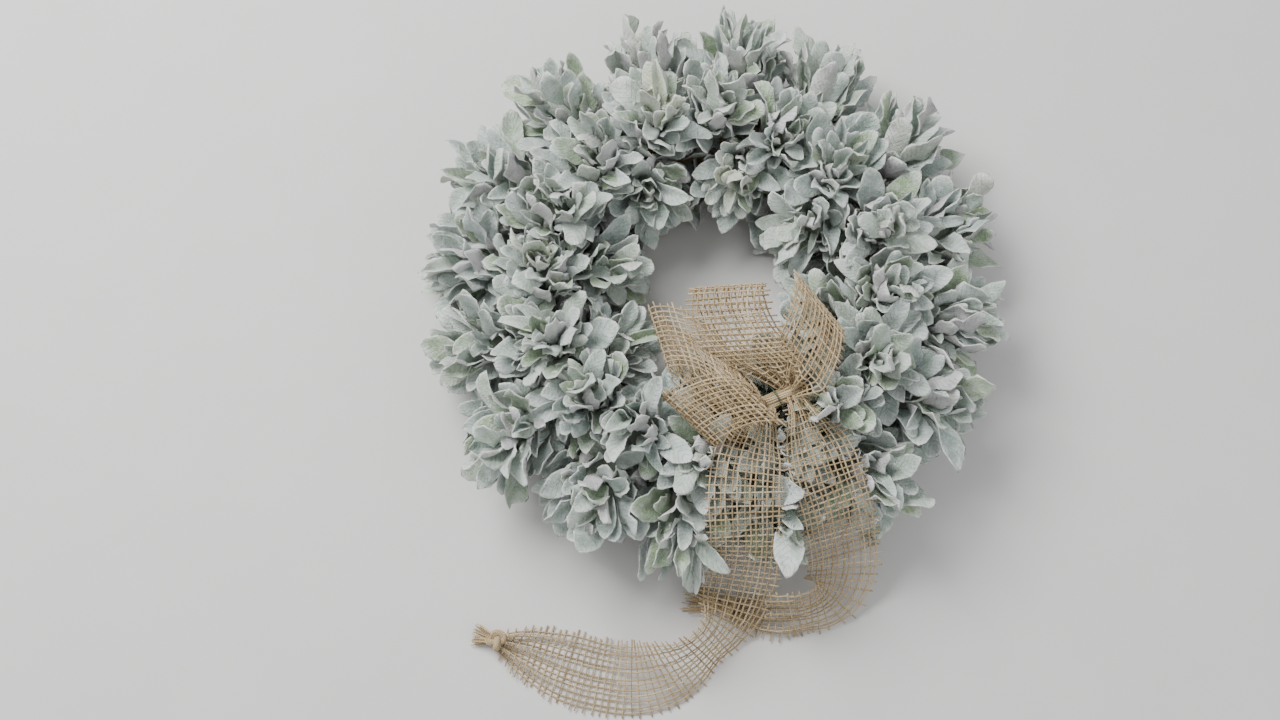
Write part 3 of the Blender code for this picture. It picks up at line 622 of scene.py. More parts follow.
def addKnot(lines, net, fray, draw):
    # an overhand knot of the gathered yarns, and the cut ends that stand out of it
    path = net.columns[:, :3]
    end, along = path[-1], directions(path)[-1]
    level = unit(along * (1, 1, 0))
    sideways = np.cross(upward, level)
    knotRadius = 8.5 * mm
    middle = end + level * knotRadius * 0.6
    middle[2] = knotRadius + roll["gap"]
    turn = np.linspace(0, 2 * math.pi, 56)
    tilt = turned(upward, sideways, math.radians(35))
    cross = np.cross(tilt, sideways)
    clover = [(np.sin(turn) + 2 * np.sin(2 * turn), sideways), (np.cos(turn) - 2 * np.cos(2 * turn), cross),
              (-np.sin(3 * turn) * 1.3, tilt)]
    scale = (knotRadius - 2.2 * mm) / 3
    core = middle + scale * sum(values[:, None] * axis for values, axis in clover)
    ahead = directions(core)
    for i in range(11):
        first = np.cross(ahead, upward)
        first /= np.linalg.norm(first, axis=1)[:, None]
        second = np.cross(ahead, first)
        spin = turn * 2 + i * 2 * math.pi / 11
        bundle = first * np.cos(spin)[:, None] + second * np.sin(spin)[:, None]
        lines.add(core + bundle * 1.9 * mm, ribbon["yarn"] * 0.95, draw.random())
    for i in range(10):
        side = draw.uniform(-1, 1)
        start = net.points(net.length, side, 0)[0]
        lines.add([start, (start + middle) / 2, middle], ribbon["yarn"], draw.random())
    for i in range(42):
        spread, lift = draw.uniform(-1, 1), draw.uniform(-0.7, 0.9)
        length = knotRadius + fray * draw.uniform(0.65, 1.1)
        way = unit(level + sideways * spread * 0.35 + upward * lift * 0.12)
        root = middle + sideways * spread * 2.6 * mm + upward * (lift * 2.2 * mm - 2 * mm)
        curl = np.array([draw.uniform(-1, 1) for _ in range(3)]) * fray * 0.12
        sag = curl - upward * 2.6 * mm
        strand = [root + way * length * t + sag * t * t for t in np.linspace(0, 1, 6)]
        for point in strand:
            point[2] = max(point[2], 0.7 * mm)
        lines.add(strand, ribbon["yarn"] * np.linspace(1.0, 0.6, 6), draw.random())


def addWaist(lines, draw):
    # the gathered yarns that run through the waist
    axis = waistAxis()
    side = np.cross(upward, axis)
    for i in range(96):
        angle, depth = draw.uniform(0, 2 * math.pi), math.sqrt(draw.random())
        reach = waist["gatheredAt"] + draw.uniform(2, 11) * mm
        path = []
        for share in np.linspace(-1, 1, 9):
            radius = (waist["radius"] - 0.8 * mm) * depth * (0.86 + 0.5 * share * share)
            spin = angle + share * 0.5
            out = side * math.cos(spin) + upward * math.sin(spin)
            path.append(waist["middle"] + axis * share * reach + out * radius)
        lines.add(path, ribbon["yarn"] * 1.1, draw.random())


def makeRibbon():
    draw = random.Random(ribbon["seed"])
    bow, nets = Lines(), [Net(*loopStrip(**loop)) for loop in loops]
    for net in nets:
        net.weave(bow, draw)
    addWaist(bow, draw)
    made = [(bow.made("juteBow", ribbon["sides"], juteFinish), sum(net.length for net in nets))]
    for name, facts in tails.items():
        net, lines, knot = Net(*tailStrip(facts["end"], facts["rows"])), Lines(), Lines()
        net.weave(lines, draw)
        addKnot(knot, net, facts["fray"], draw)
        made.append((lines.made("juteTail" + name, ribbon["sides"], juteFinish), net.length))
        made.append((knot.made("juteKnot" + name, ribbon["sides"], juteFinish), 0))
    return made


def makeBowWire():
    axis = waistAxis()
    side = np.cross(upward, axis)
    bend = waist["radius"] + roll["gap"] + tie["radius"] + wire["chordRoom"]
    turns = np.linspace(-math.radians(25), math.radians(205), 22)
    over = [waist["middle"] + bend * (side * math.cos(a) + upward * math.sin(a)) for a in turns]
    theta = math.atan2(waist["middle"][1], waist["middle"][0])
    ends = []
    for step in (1, -1):
        at, phi = theta + step * math.radians(5), math.radians(112)
        ends.append([rollPoint(at, phi, roll["tubeRadius"] - depth) for depth in (tie["depth"], 0)])
    lines = Lines()
    lines.add(ends[0] + over + ends[1][::-1], tie["radius"], 0.5)
    return lines.made("bowWire", tie["sides"], wireFinish)


strawPiece, bindingPiece, bowWirePiece = makeStraw(), makeBindingWire(), makeBowWire()
ribbonPieces = makeRibbon()
print("straw, wires and ribbon made")


# Sprigs: where each stem lies and how each leaf grows

rows = {
    "outer": dict(every=1, place=34, sense=1, lean=26, rise=4, stem=43 * mm, leaf=1.04, core=1.0, pairs=5),
    "crown": dict(every=1, place=94, sense=-1, lean=24, rise=-2, stem=36 * mm, leaf=0.96, core=0.88, pairs=5),
    "inner": dict(every=2, place=146, sense=1, lean=10, rise=-8, stem=28 * mm, leaf=0.9, core=0.8, pairs=3),
}
stemShape = {"radius": 1.5 * mm, "laid": 24 * mm, "bend": 10 * mm, "sides": 5, "tries": 40, "room": 0.15 * mm}
heart = [(0.0, 7 * mm), (0.36, 22 * mm), (0.76, 18 * mm), (1.0, 6 * mm)]
bud = {"length": 12 * mm, "radius": 3.6 * mm, "tip": 0.7 * mm}
pairs = [
    dict(along=0.18, length=48 * mm, angle=76, curl=10),
    dict(along=0.38, length=46 * mm, angle=60, curl=14),
    dict(along=0.58, length=42 * mm, angle=46, curl=16),
    dict(along=0.80, length=35 * mm, angle=32, curl=14),
    dict(along=0.96, length=22 * mm, angle=20, curl=4),
]
combing = {"places": (0, 40, 90, 125, 165, 200), "headings": (2, 26, 58, 112, 170, 198),
           "least": 0.15, "most": 0.65}
leafRule = {"width": 0.42, "keel": 1.7 * mm, "petiole": 3 * mm, "rootDepth": 2.5 * mm, "room": 0.45 * mm,
            "tries": 90, "lowest": 1.2 * mm, "bladeFrom": 0.1, "seed": 41}
leafStations, smallStations, smallLeaf = (0.0, 0.34, 0.74, 1.0), (0.0, 0.5, 1.0), 24 * mm
fillers = {"outer": 60, "crown": 64, "inner": 46, "tries": 18, "clearFrom": 0.4, "margin": 3.5 * mm,
           "lengths": (28, 48), "widths": (0.8, 1.25), "curls": (-70, 75), "bend": 32, "comb": 0.25,
           "seed": 77}
tucked = {"count": 1500, "tries": 12, "shortest": 34 * mm, "longest": 60 * mm, "spread": 30, "sway": 0.5,
          "widths": (0.65, 1.0), "curls": (-65, 70), "bend": 30, "seed": 19}
crumple = {"blunt": (0.5, 0.9), "twist": 60, "cups": (5, 16, 30, 50, -18), "cupSway": 10}
rosette = {"outer": 0, "crown": 12, "inner": 10, "seed": 5}
# heads with pale young leaves: their places, in millimetres, and how near to one a sprig has to end
creamyPlaces = [(-117, 86), (-36, 106), (14, 99), (123, 53), (149, -12), (140, -84), (123, -110), (-140, 3),
                (-93, -56)]
creamyReach = 24 * mm


def treeOf(points, faces):
    return BVHTree.FromPolygons([tuple(p) for p in points], faces)


def lofted(rings):
    sides = len(rings[0])
    faces = []
    for here in range(0, (len(rings) - 1) * sides, sides):
        for j in range(sides):
            k = (j + 1) % sides
            faces.append((here + j, here + k, here + sides + k, here + sides + j))
    last = (len(rings) - 1) * sides
    faces += [tuple(range(sides)), tuple(range(last, last + sides))]
    return [p for ring in rings for p in ring], faces


def seated(laid, outward, strawSkin):
    samples = [a + (b - a) * share for a, b in zip(laid, laid[1:]) for share in np.linspace(0, 1, 5)]
    nearest = min(strawSkin.find_nearest(tuple(sample))[3] for sample in samples)
    return [point - outward * (nearest - stemShape["radius"] - roll["gap"]) for point in laid]


def stemTries(strawSkin, row, turn):
    facts = rows[row]
    draw = random.Random(f"{leafRule['seed']} {row} {turn}")
    for attempt in range(stemShape["tries"]):
        loose = attempt / stemShape["tries"]
        phi = math.radians(facts["place"] + draw.uniform(-5, 5))
        held = wireTheta(turn, phi)
        distance = roll["tubeRadius"] + wire["stemLayer"]
        circle = roll["ringRadius"] + distance * math.cos(phi)
        half = facts["sense"] * stemShape["laid"] / 2 / circle
        laid = [rollPoint(held + half * share, phi, distance) for share in (-1, 0, 1)]
        laid = seated(laid, rollNormal(held, phi), strawSkin)
        theta = held + half
        forward = np.array([-math.sin(theta), math.cos(theta), 0.0]) * facts["sense"]
        lean = math.radians(facts["lean"] + draw.uniform(-1, 1) * (8 + 30 * loose))
        rise = phi + math.radians(facts["rise"] + draw.uniform(-1, 1) * (8 + 24 * loose))
        head = unit(rollNormal(theta, rise) * math.cos(lean) + forward * math.sin(lean))
        knee = laid[-1] + forward * stemShape["bend"] * 0.6
        bent = knee + unit(forward + head) * stemShape["bend"] * 0.6
        core = facts["core"] * (1 - 0.5 * loose)
        free = facts["stem"] * draw.uniform(0.88, 1.12) * (1 - 0.4 * loose)
        path = laid + [bent + head * free * share for share, _ in heart]
        path += [path[-1] + head * bud["length"] * share for share in (0.45, 1.0)]
        radii = [stemShape["radius"]] * 3 + [radius * core for _, radius in heart]
        radii += [bud["radius"], bud["tip"]]
        spin = draw.uniform(0, 360)
        yield dict(path=np.array(path), radii=radii, head=head, free=free, core=core, spin=spin)


def stemSkin(stem, room):
    start = unit(np.cross(directions(stem["path"])[0], upward))
    rings = []
    for point, along, radius in zip(stem["path"], directions(stem["path"]), stem["radii"]):
        across = unit(np.cross(along, start))
        out = np.cross(across, along)
        corners = [2 * math.pi * k / stemShape["sides"] for k in range(stemShape["sides"])]
        rings.append([point + (radius + room) * (out * math.cos(a) + across * math.sin(a)) for a in corners])
    return lofted(rings)


def leafLine(leaf, shares):
    spin = np.array([leaf["twist"], leaf["curl"], leaf["bend"]])
    rate = np.linalg.norm(spin) + 1e-9
    axis = spin / rate
    start = np.column_stack([leaf["along"], np.cross(leaf["face"], leaf["along"]), leaf["face"]])
    turn = rate * np.array(shares)[:, None]
    ahead = np.array([1.0, 0.0, 0.0])
    points = (ahead * np.sin(turn) + np.cross(axis, ahead) * (1 - np.cos(turn))
              + axis * axis[0] * (turn - np.sin(turn))) / rate
    frames = [basis * np.cos(turn) + np.cross(axis, basis) * np.sin(turn)
              + axis * np.dot(axis, basis) * (1 - np.cos(turn)) for basis in np.eye(3)]
    world = [turnedFrame @ start.T for turnedFrame in frames]
    return leaf["root"] + leaf["length"] * (points @ start.T), world[1], world[2]


def halfWidth(leaf, share):
    peak = 0.85 / (0.85 + leaf["blunt"])
    most = peak ** 0.85 * (1 - peak) ** leaf["blunt"]
    blade = share ** 0.85 * (1 - share) ** leaf["blunt"] / most
    return leaf["width"] / 2 * blade + leafRule["petiole"] / 2 * (1 - share)


def leafSkin(leaf, stations, room):
    points, faces = [], []
    for share, middle, side, face in zip(stations[:-1], *leafLine(leaf, stations)):
        wide = halfWidth(leaf, share)
        flat = middle + face * math.sin(leaf["cup"]) * wide
        edge = side * (wide * math.cos(leaf["cup"]) + 2 * room)
        keel = leafRule["keel"] * (1 - 0.3 * share) + room
        points += [flat - edge, flat + edge, flat - face * keel, flat + face * room]
    spans = [(0, 2), (1, 2), (0, 3), (1, 3)] if room else [(0, 2), (1, 2), (0, 1)]
    tip = len(points)
    points.append(leafLine(leaf, stations[-1:])[0][0])
    for here in range(0, tip - 4, 4):
        for a, b in spans:
            faces += [(here + a, here + b, here + b + 4), (here + a, here + b + 4, here + a + 4)]
    faces += [(tip - 4 + a, tip - 4 + b, tip) for a, b in spans]
    faces.append((0, 2, 1, 3) if room else (0, 2, 1))
    return np.array(points), faces


def beside(head):
    # a direction square to the head, from which its leaves are counted round
    return unit(np.cross(head, upward if abs(head[2]) < 0.9 else np.array([1.0, 0.0, 0.0])))


def opened(head, out, angle):
    # the way and the face of a leaf that stands out from its head by this angle
    return head * math.cos(angle) + out * math.sin(angle), head * math.sin(angle) - out * math.cos(angle)


def onHeart(stem, share, out):
    # a root just under the heart's side, at a share of its height
    depth = np.interp(share, *zip(*heart)) * stem["core"] * math.cos(math.pi / stemShape["sides"])
    return stem["path"][3] + stem["head"] * stem["free"] * share + out * (depth - leafRule["rootDepth"])


def combedWay(root):
    # the way that all leaves lie there: outward over the roll, and inward at the hole
    place = math.degrees(math.atan2(root[2] - roll["tubeHeight"], math.hypot(*root[:2]) - roll["ringRadius"]))
    heading = np.interp(place if place > -90 else place + 360, combing["places"], combing["headings"])
    return rollNormal(math.atan2(root[1], root[0]), math.radians(heading))


def laidLeaf(root, along, face):
    along = unit(along)
    return dict(root=root, along=along, face=unit(face - along * np.dot(face, along)))


def combed(root, along, face, draw, more=0.0):
    pull = draw.uniform(combing["least"], combing["most"]) + more
    return laidLeaf(root, along * (1 - pull) + combedWay(root) * pull, face * (1 - pull) + upward * pull)


def leafTries(stem, row, turn, level, hand):
    pair, head, first = pairs[level], stem["head"], beside(stem["head"])
    draw = random.Random(f"{leafRule['seed']} {row} {turn} {level} {hand}")
    usual = math.radians(stem["spin"] + 90 * level + 180 * hand)
    size = rows[row]["leaf"] * draw.uniform(0.86, 1.12)
    wide = leafRule["width"] * draw.uniform(0.86, 1.14)
    blunt = draw.uniform(0.6, 1.0)
    for attempt in range(leafRule["tries"]):
        loose = attempt / leafRule["tries"]
        azimuth = usual + math.radians(draw.uniform(-1, 1) * (24 + 60 * loose))
        angle = math.radians(pair["angle"] + draw.uniform(-1, 1) * (16 + 40 * loose))
        length = pair["length"] * size * (1 - 0.42 * loose * draw.random())
        out = turned(first, head, azimuth)
        yield dict(
            combed(onHeart(stem, pair["along"], out), *opened(head, out, angle), draw),
            length=length, width=length * wide, blunt=blunt,
            curl=math.radians(pair["curl"] + draw.uniform(-1, 1) * (22 + 25 * loose)),
            bend=math.radians(draw.uniform(-14, 14)), twist=math.radians(draw.uniform(-12, 12)),
            cup=math.radians(draw.uniform(4, 26)),
        )


def fillerTries(stem, row, draw):
    # more leaves of the same sprig, from anywhere on its heart
    head, alongs = stem["head"], [pair["along"] for pair in pairs]
    for attempt in range(fillers["tries"]):
        share = draw.uniform(0.2, 1.04)
        angle, curl = (np.interp(share, alongs, [pair[what] for pair in pairs]) for what in ("angle", "curl"))
        out = turned(beside(head), head, draw.uniform(0, 2 * math.pi))
        angle = math.radians(angle + draw.uniform(-38, 38))
        length = draw.uniform(*fillers["lengths"]) * mm * rows[row]["leaf"]
        length = length * (1 - 0.35 * attempt / fillers["tries"])
        root = onHeart(stem, share, out)
        leaf = combed(root, *opened(head, out, angle), draw, fillers["comb"])
        yield dict(leaf, height=share, **crumpled(draw, length, curl, fillers))


def crumpled(draw, length, curl, rule):
    # the loose shape of a small leaf: a random width, roundness, curl, bend, twist and cup
    sway = crumple["cupSway"]
    return dict(
        length=length, width=length * leafRule["width"] * draw.uniform(*rule["widths"]),
        blunt=draw.uniform(*crumple["blunt"]), curl=math.radians(curl + draw.uniform(*rule["curls"])),
        bend=math.radians(draw.uniform(-rule["bend"], rule["bend"])),
        twist=math.radians(draw.uniform(-crumple["twist"], crumple["twist"])),
        cup=math.radians(draw.choice(crumple["cups"]) + draw.uniform(-sway, sway)),
    )


def tuckedTries(draw):
    # leaves that are tucked straight into the straw, where the sprigs leave it open
    theta, phi = draw.uniform(0, 2 * math.pi), math.radians(draw.uniform(-14, 206))
    root = rollPoint(theta, phi, roll["tubeRadius"] - 1.5 * mm)
    forward = np.array([-math.sin(theta), math.cos(theta), 0.0])
    for attempt in range(tucked["tries"]):
        way = combedWay(root) * 0.6 + rollNormal(theta, phi) * 0.4
        way = turned(way, forward, math.radians(draw.uniform(-1, 1) * tucked["spread"]))
        side = np.array([draw.uniform(-1, 1) for _ in range(3)])
        length = draw.uniform(tucked["shortest"], tucked["longest"]) * (1 - 0.35 * attempt / tucked["tries"])
        way = way + forward * draw.uniform(-1, 1) * tucked["sway"]
        yield dict(laidLeaf(root, way, upward * 0.7 + side), **crumpled(draw, length, 0, tucked))


def rosetteLeaf(stem, row, number, draw):
    # the youngest leaves, still folded round each other at the top
    head = stem["head"]
    rank = number / rosette[row]
    out = turned(beside(head), head, number * 2.4 + draw.uniform(-0.3, 0.3))
    angle = math.radians(10 + 42 * rank + draw.uniform(-8, 8))
    length = (9 + 15 * rank) * mm * draw.uniform(0.85, 1.15) * rows[row]["leaf"]
    share = 1.12 - 0.22 * rank
    along, face = opened(head, out, angle)
    return dict(
        root=stem["path"][3] + head * stem["free"] * share + out * 1.2 * mm, along=along, face=face,
        length=length, width=length * draw.uniform(0.55, 0.75), blunt=draw.uniform(0.5, 0.8),
        curl=math.radians(draw.uniform(-60, 30)), bend=math.radians(draw.uniform(-15, 15)),
        twist=math.radians(draw.uniform(-25, 25)), cup=math.radians(draw.uniform(25, 60)),
    )


class Crowd:
    # shapes that the next leaf has to keep clear of
    def __init__(self):
        self.lows, self.highs = np.empty((0, 3)), np.empty((0, 3))
        self.trees, self.owners = [], []

    def add(self, owner, points, faces):
        points = np.array(points)
        self.lows = np.vstack([self.lows, points.min(axis=0)])
        self.highs = np.vstack([self.highs, points.max(axis=0)])
        self.trees.append(treeOf(points, faces))
        self.owners.append(owner)

    def free(self, points, faces, owner, ownPieces):
        points = np.array(points)
        low, high = points.min(axis=0), points.max(axis=0)
        near = (self.lows <= high).all(axis=1) & (self.highs >= low).all(axis=1)
        asked = [i for i in np.flatnonzero(near) if (self.owners[i] == owner) == ownPieces]
        if not asked:
            return True
        mine = treeOf(points, faces)
        return not any(self.trees[i].overlap(mine) for i in asked)


def placeLeaf(crowd, kin, stem, row, turn, level, hand):
    owner = (row, turn)
    stations = smallStations if pairs[level]["length"] < smallLeaf else leafStations
    for leaf in leafTries(stem, row, turn, level, hand):
        whole, faces = leafSkin(leaf, stations, leafRule["room"])
        if whole[:, 2].min() < leafRule["lowest"] or not crowd.free(whole, faces, owner, False):
            continue
        beyond = (leafRule["bladeFrom"], *stations[1:])
        if not kin.free(*leafSkin(leaf, beyond, leafRule["room"]), owner, True):
            continue
        crowd.add(owner, *leafSkin(leaf, stations, 0.0))
        kin.add(owner, *leafSkin(leaf, beyond, 0.0))
        return leaf
    return None


def placeFiller(crowd, kin, tries, owner):
    low, high = (np.array(corner) - ringCentre for corner in cadBox)
    beyond = (fillers["clearFrom"], *leafStations[1:])
    for leaf in tries:
        blade, faces = leafSkin(leaf, beyond, 0.0)
        if (blade < low + fillers["margin"]).any() or (blade > high).any():
            continue
        if crowd.free(blade, faces, owner, False) and kin.free(blade, faces, owner, True):
            crowd.add(owner, blade, faces)
            kin.add(owner, blade, faces)
            return leaf
    return None


def meshOf(node):
    points = np.array([tuple(v.co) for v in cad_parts[node].data.vertices]) - ringCentre
    return points, [tuple(p.vertices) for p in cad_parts[node].data.polygons]


def growSprigs():
    crowd, kin = Crowd(), Crowd()
    for node in ("straw_ring", "binding_wire", "bow_wire", "jute_ribbon"):
        crowd.add(node, *meshOf(node))
    strawSkin = treeOf(*meshOf("straw_ring"))
    sprigs = [(row, turn) for row in rows for turn in range(0, roll["turns"], rows[row]["every"])]
    stems, grownLeaves = {}, {sprig: [] for sprig in sprigs}
    for sprig in sprigs:
        for stem in stemTries(strawSkin, *sprig):
            if crowd.free(*stemSkin(stem, stemShape["room"]), sprig, False):
                break
        crowd.add(sprig, *stemSkin(stem, 0.0))
        stems[sprig] = stem
    for level in range(len(pairs)):
        for sprig in [s for s in sprigs if level < rows[s[0]]["pairs"]]:
            for hand in (0, 1):
                leaf = placeLeaf(crowd, kin, stems[sprig], *sprig, level, hand)
                if leaf:
                    grownLeaves[sprig].append(dict(leaf, young=0.0))
    print("main leaves", sum(len(leaves) for leaves in grownLeaves.values()))
    for sprig in sprigs:
        draw = random.Random(f"{rosette['seed']} {sprig}")
        top = stems[sprig]["path"][-1][:2]
        if min(np.linalg.norm(top - np.array(spot) * mm) for spot in creamyPlaces) > creamyReach:
            continue
        for number in range(rosette[sprig[0]]):
            leaf = rosetteLeaf(stems[sprig], sprig[0], number, draw)
            grownLeaves[sprig].append(dict(leaf, young=1.0 - 0.6 * number / rosette[sprig[0]]))
    draws = {sprig: random.Random(f"{fillers['seed']} {sprig}") for sprig in sprigs}
    creamy = {sprig for sprig in sprigs if grownLeaves[sprig][-1]["young"] > 0}
    for number in range(max(fillers[row] for row in rows)):
        for sprig in [s for s in sprigs if number < fillers[s[0]]]:
            tries = fillerTries(stems[sprig], sprig[0], draws[sprig])
            leaf = placeFiller(crowd, kin, tries, sprig)
            if leaf:
                top = smooth((leaf["height"] - 0.7) / 0.3) * (0.8 if sprig in creamy else 0.25)
                grownLeaves[sprig].append(dict(leaf, young=top * draws[sprig].uniform(0.5, 1)))
    draw, loose = random.Random(tucked["seed"]), []
    for number in range(tucked["count"]):
        leaf = placeFiller(crowd, kin, tuckedTries(draw), ("tucked", number))
        if leaf:
            loose.append(dict(leaf, young=0.0))
    print("leaves of sprigs", sum(len(leaves) for leaves in grownLeaves.values()), "tucked", len(loose))
    return stems, grownLeaves, loose


# Leaf blades: one felt cushion for each point, bent, cupped and waved

blade = {"stations": 10, "cells": 6, "felt": 1.3 * mm, "keel": 1.2 * mm, "groove": 0.5 * mm,
         "quilt": 0.5 * mm}
vectors = ("root", "along", "face")
numbers = ("length", "width", "blunt", "curl", "bend", "twist", "cup", "young", "tone", "wave", "phase",
           "tip")
leafLooks = {"green": 0.2, "greenTones": (0.78, 1.0), "tone": 0.4, "toneSpread": 0.2, "toneMost": 0.74,
             "sprigSpread": 0.12, "waves": (6, 16), "tips": (0.0, 0.08, -0.16, 0.24), "pointed": 0.86}


def bladeTree():
    tree, given = startTree("leafBlades", {
        "Stations": "count", "Cells": "count", "Felt": "size", "Keel": "size", "Groove": "size",
        "Quilt": "size", "Sides": "count", "Finish": "finish"})
    # template: a flat cushion one unit long and two wide, closed at its rim
    size = {"Size X": 1.0, "Size Y": 2.0, "Vertices X": given["Stations"], "Vertices Y": given["Cells"]}
    grid = addNode(tree, "GeometryNodeMeshGrid", size)
    x, y, _ = split(addNode(tree, "GeometryNodeInputPosition"))
    even = x + 0.5
    share = even * 0.4 + (0.5 - work(tree, "COSINE", even * math.pi) * 0.5) * 0.6
    across = work(tree, "SINE", y * (math.pi / 2))
    atRim = work(tree, "MAXIMUM", work(tree, "ABSOLUTE", y), work(tree, "ABSOLUTE", even * 2.0 - 1.0))
    inside = work(tree, "LESS_THAN", atRim, 0.999)
    above, below = joined(tree, share, across, inside), joined(tree, share, across, inside * -1.0)
    front = addNode(tree, "GeometryNodeSetPosition", {0: grid, "Position": above})
    back = addNode(tree, "GeometryNodeSetPosition", {0: grid, "Position": below})
    cushion = together(front, addNode(tree, "GeometryNodeFlipFaces", {0: back}))
    cushion = addNode(tree, "GeometryNodeMergeByDistance", {0: cushion, "Distance": 0.001})
    x, y, z = split(addNode(tree, "GeometryNodeInputPosition"))
    for label, value in (("share", x), ("across", y), ("skin", z)):
        cushion = store(cushion, label, value)
    isLeaf = work(tree, "GREATER_THAN", named(tree, "length"), 0.0)
    leaves = {0: given["Shape"], "Selection": isLeaf, "Instance": cushion}
    leaves = addNode(tree, "GeometryNodeInstanceOnPoints", leaves)
    leaves = addNode(tree, "GeometryNodeRealizeInstances", {0: leaves})
    leaves = addNode(tree, "GeometryNodeSetPosition", {0: leaves, "Position": bladePlace(tree, given)})
    leaves = addNode(tree, "GeometryNodeMergeByDistance", {0: leaves, "Distance": 0.01 * mm})
    # stem, heart and bud
    isStem = work(tree, "LESS_THAN", named(tree, "length"), 0.0)
    stem = addNode(tree, "GeometryNodeMeshToCurve", {0: given["Shape"], "Selection": isStem})
    stem = addNode(tree, "GeometryNodeCurveSplineType", {0: stem}, spline_type="CATMULL_ROM")
    stem = addNode(tree, "GeometryNodeSetSplineResolution", {0: stem, "Resolution": 5})
    profile = addNode(tree, "GeometryNodeCurvePrimitiveCircle", {"Resolution": given["Sides"], "Radius": 1.0})
    stem = {0: stem, 1: profile, "Scale": named(tree, "thick"), "Fill Caps": True}
    stem = addNode(tree, "GeometryNodeCurveToMesh", stem)
    lumps = cloud(tree, addNode(tree, "GeometryNodeInputPosition"), 150.0) - 0.5
    push = addNode(tree, "GeometryNodeInputNormal") * (lumps * named(tree, "thick") * 0.5)
    stem = addNode(tree, "GeometryNodeSetPosition", {0: stem, "Offset": push})
    return finishTree(tree, together(leaves, stem), given["Finish"])


def bladePlace(tree, given):
    # the place of a template point on its own leaf
    share, across, skin = (named(tree, name) for name in ("share", "across", "skin"))
    at = {name: named(tree, name, "FLOAT_VECTOR") for name in vectors}
    at.update({name: named(tree, name) for name in numbers})
    spin = joined(tree, at["twist"], at["curl"], at["bend"])
    rate = work(tree, "LENGTH", spin) + 1e-5
    axis = spin * (1.0 / rate)
    turn = rate * share
    sine, cosine = work(tree, "SINE", turn), work(tree, "COSINE", turn)
    ahead = (1.0, 0.0, 0.0)
    onAxis = work(tree, "DOT_PRODUCT", axis, ahead)
    line = work(tree, "CROSS_PRODUCT", axis, ahead) * (1.0 - cosine) + axis * (onAxis * (turn - sine))
    line = (line + joined(tree, sine, 0.0, 0.0)) * (at["length"] / rate)

    def swung(direction):
        inputs = {"Vector": direction, "Axis": axis, "Angle": turn}
        return addNode(tree, "ShaderNodeVectorRotate", inputs, rotation_type="AXIS_ANGLE")

    side = work(tree, "ABSOLUTE", across)
    peak = 0.85 / (at["blunt"] + 0.85)
    most = peak ** 0.85 * (1.0 - peak) ** at["blunt"]
    swell = (share ** 0.85) * ((1.0 - share) ** at["blunt"]) / most
    half = at["width"] * swell * 0.5 + (1.0 - share) * (leafRule["petiole"] / 2)
    reach = across * half * work(tree, "COSINE", at["cup"])
    cupped = work(tree, "SINE", at["cup"]) * half * (side ** 1.3)
    ripple = work(tree, "SINE", share * at["wave"] + at["phase"] + across * 1.6) * at["width"] * 0.19
    tipLift = at["tip"] * at["length"] * share ** 4.0
    middle = 1.0 / ((across * 7.0) ** 2.0 + 1.0)
    place = addNode(tree, "GeometryNodeInputNamedAttribute", {"Name": "root"}, data_type="FLOAT_VECTOR")
    spot = joined(tree, share, across, skin * 0.02) * (at["length"] * 0.6) + place
    puffs = (cloud(tree, spot, 190.0) - 0.5) * given["Quilt"] * 2.0
    felt = skin * given["Felt"] * 0.5 * (1.0 - share * 0.25)
    below = work(tree, "LESS_THAN", skin, -0.5) * middle * given["Keel"] * (1.0 - share * 0.8)
    above = work(tree, "GREATER_THAN", skin, 0.5) * middle * given["Groove"]
    lift = cupped + ripple * side * side * swell + tipLift + puffs * swell + felt - below - above
    local = line + swung((0.0, 1.0, 0.0)) * reach + swung((0.0, 0.0, 1.0)) * lift
    x, y, z = split(local)
    sideways = work(tree, "CROSS_PRODUCT", at["face"], at["along"])
    return at["root"] + at["along"] * x + sideways * y + at["face"] * z


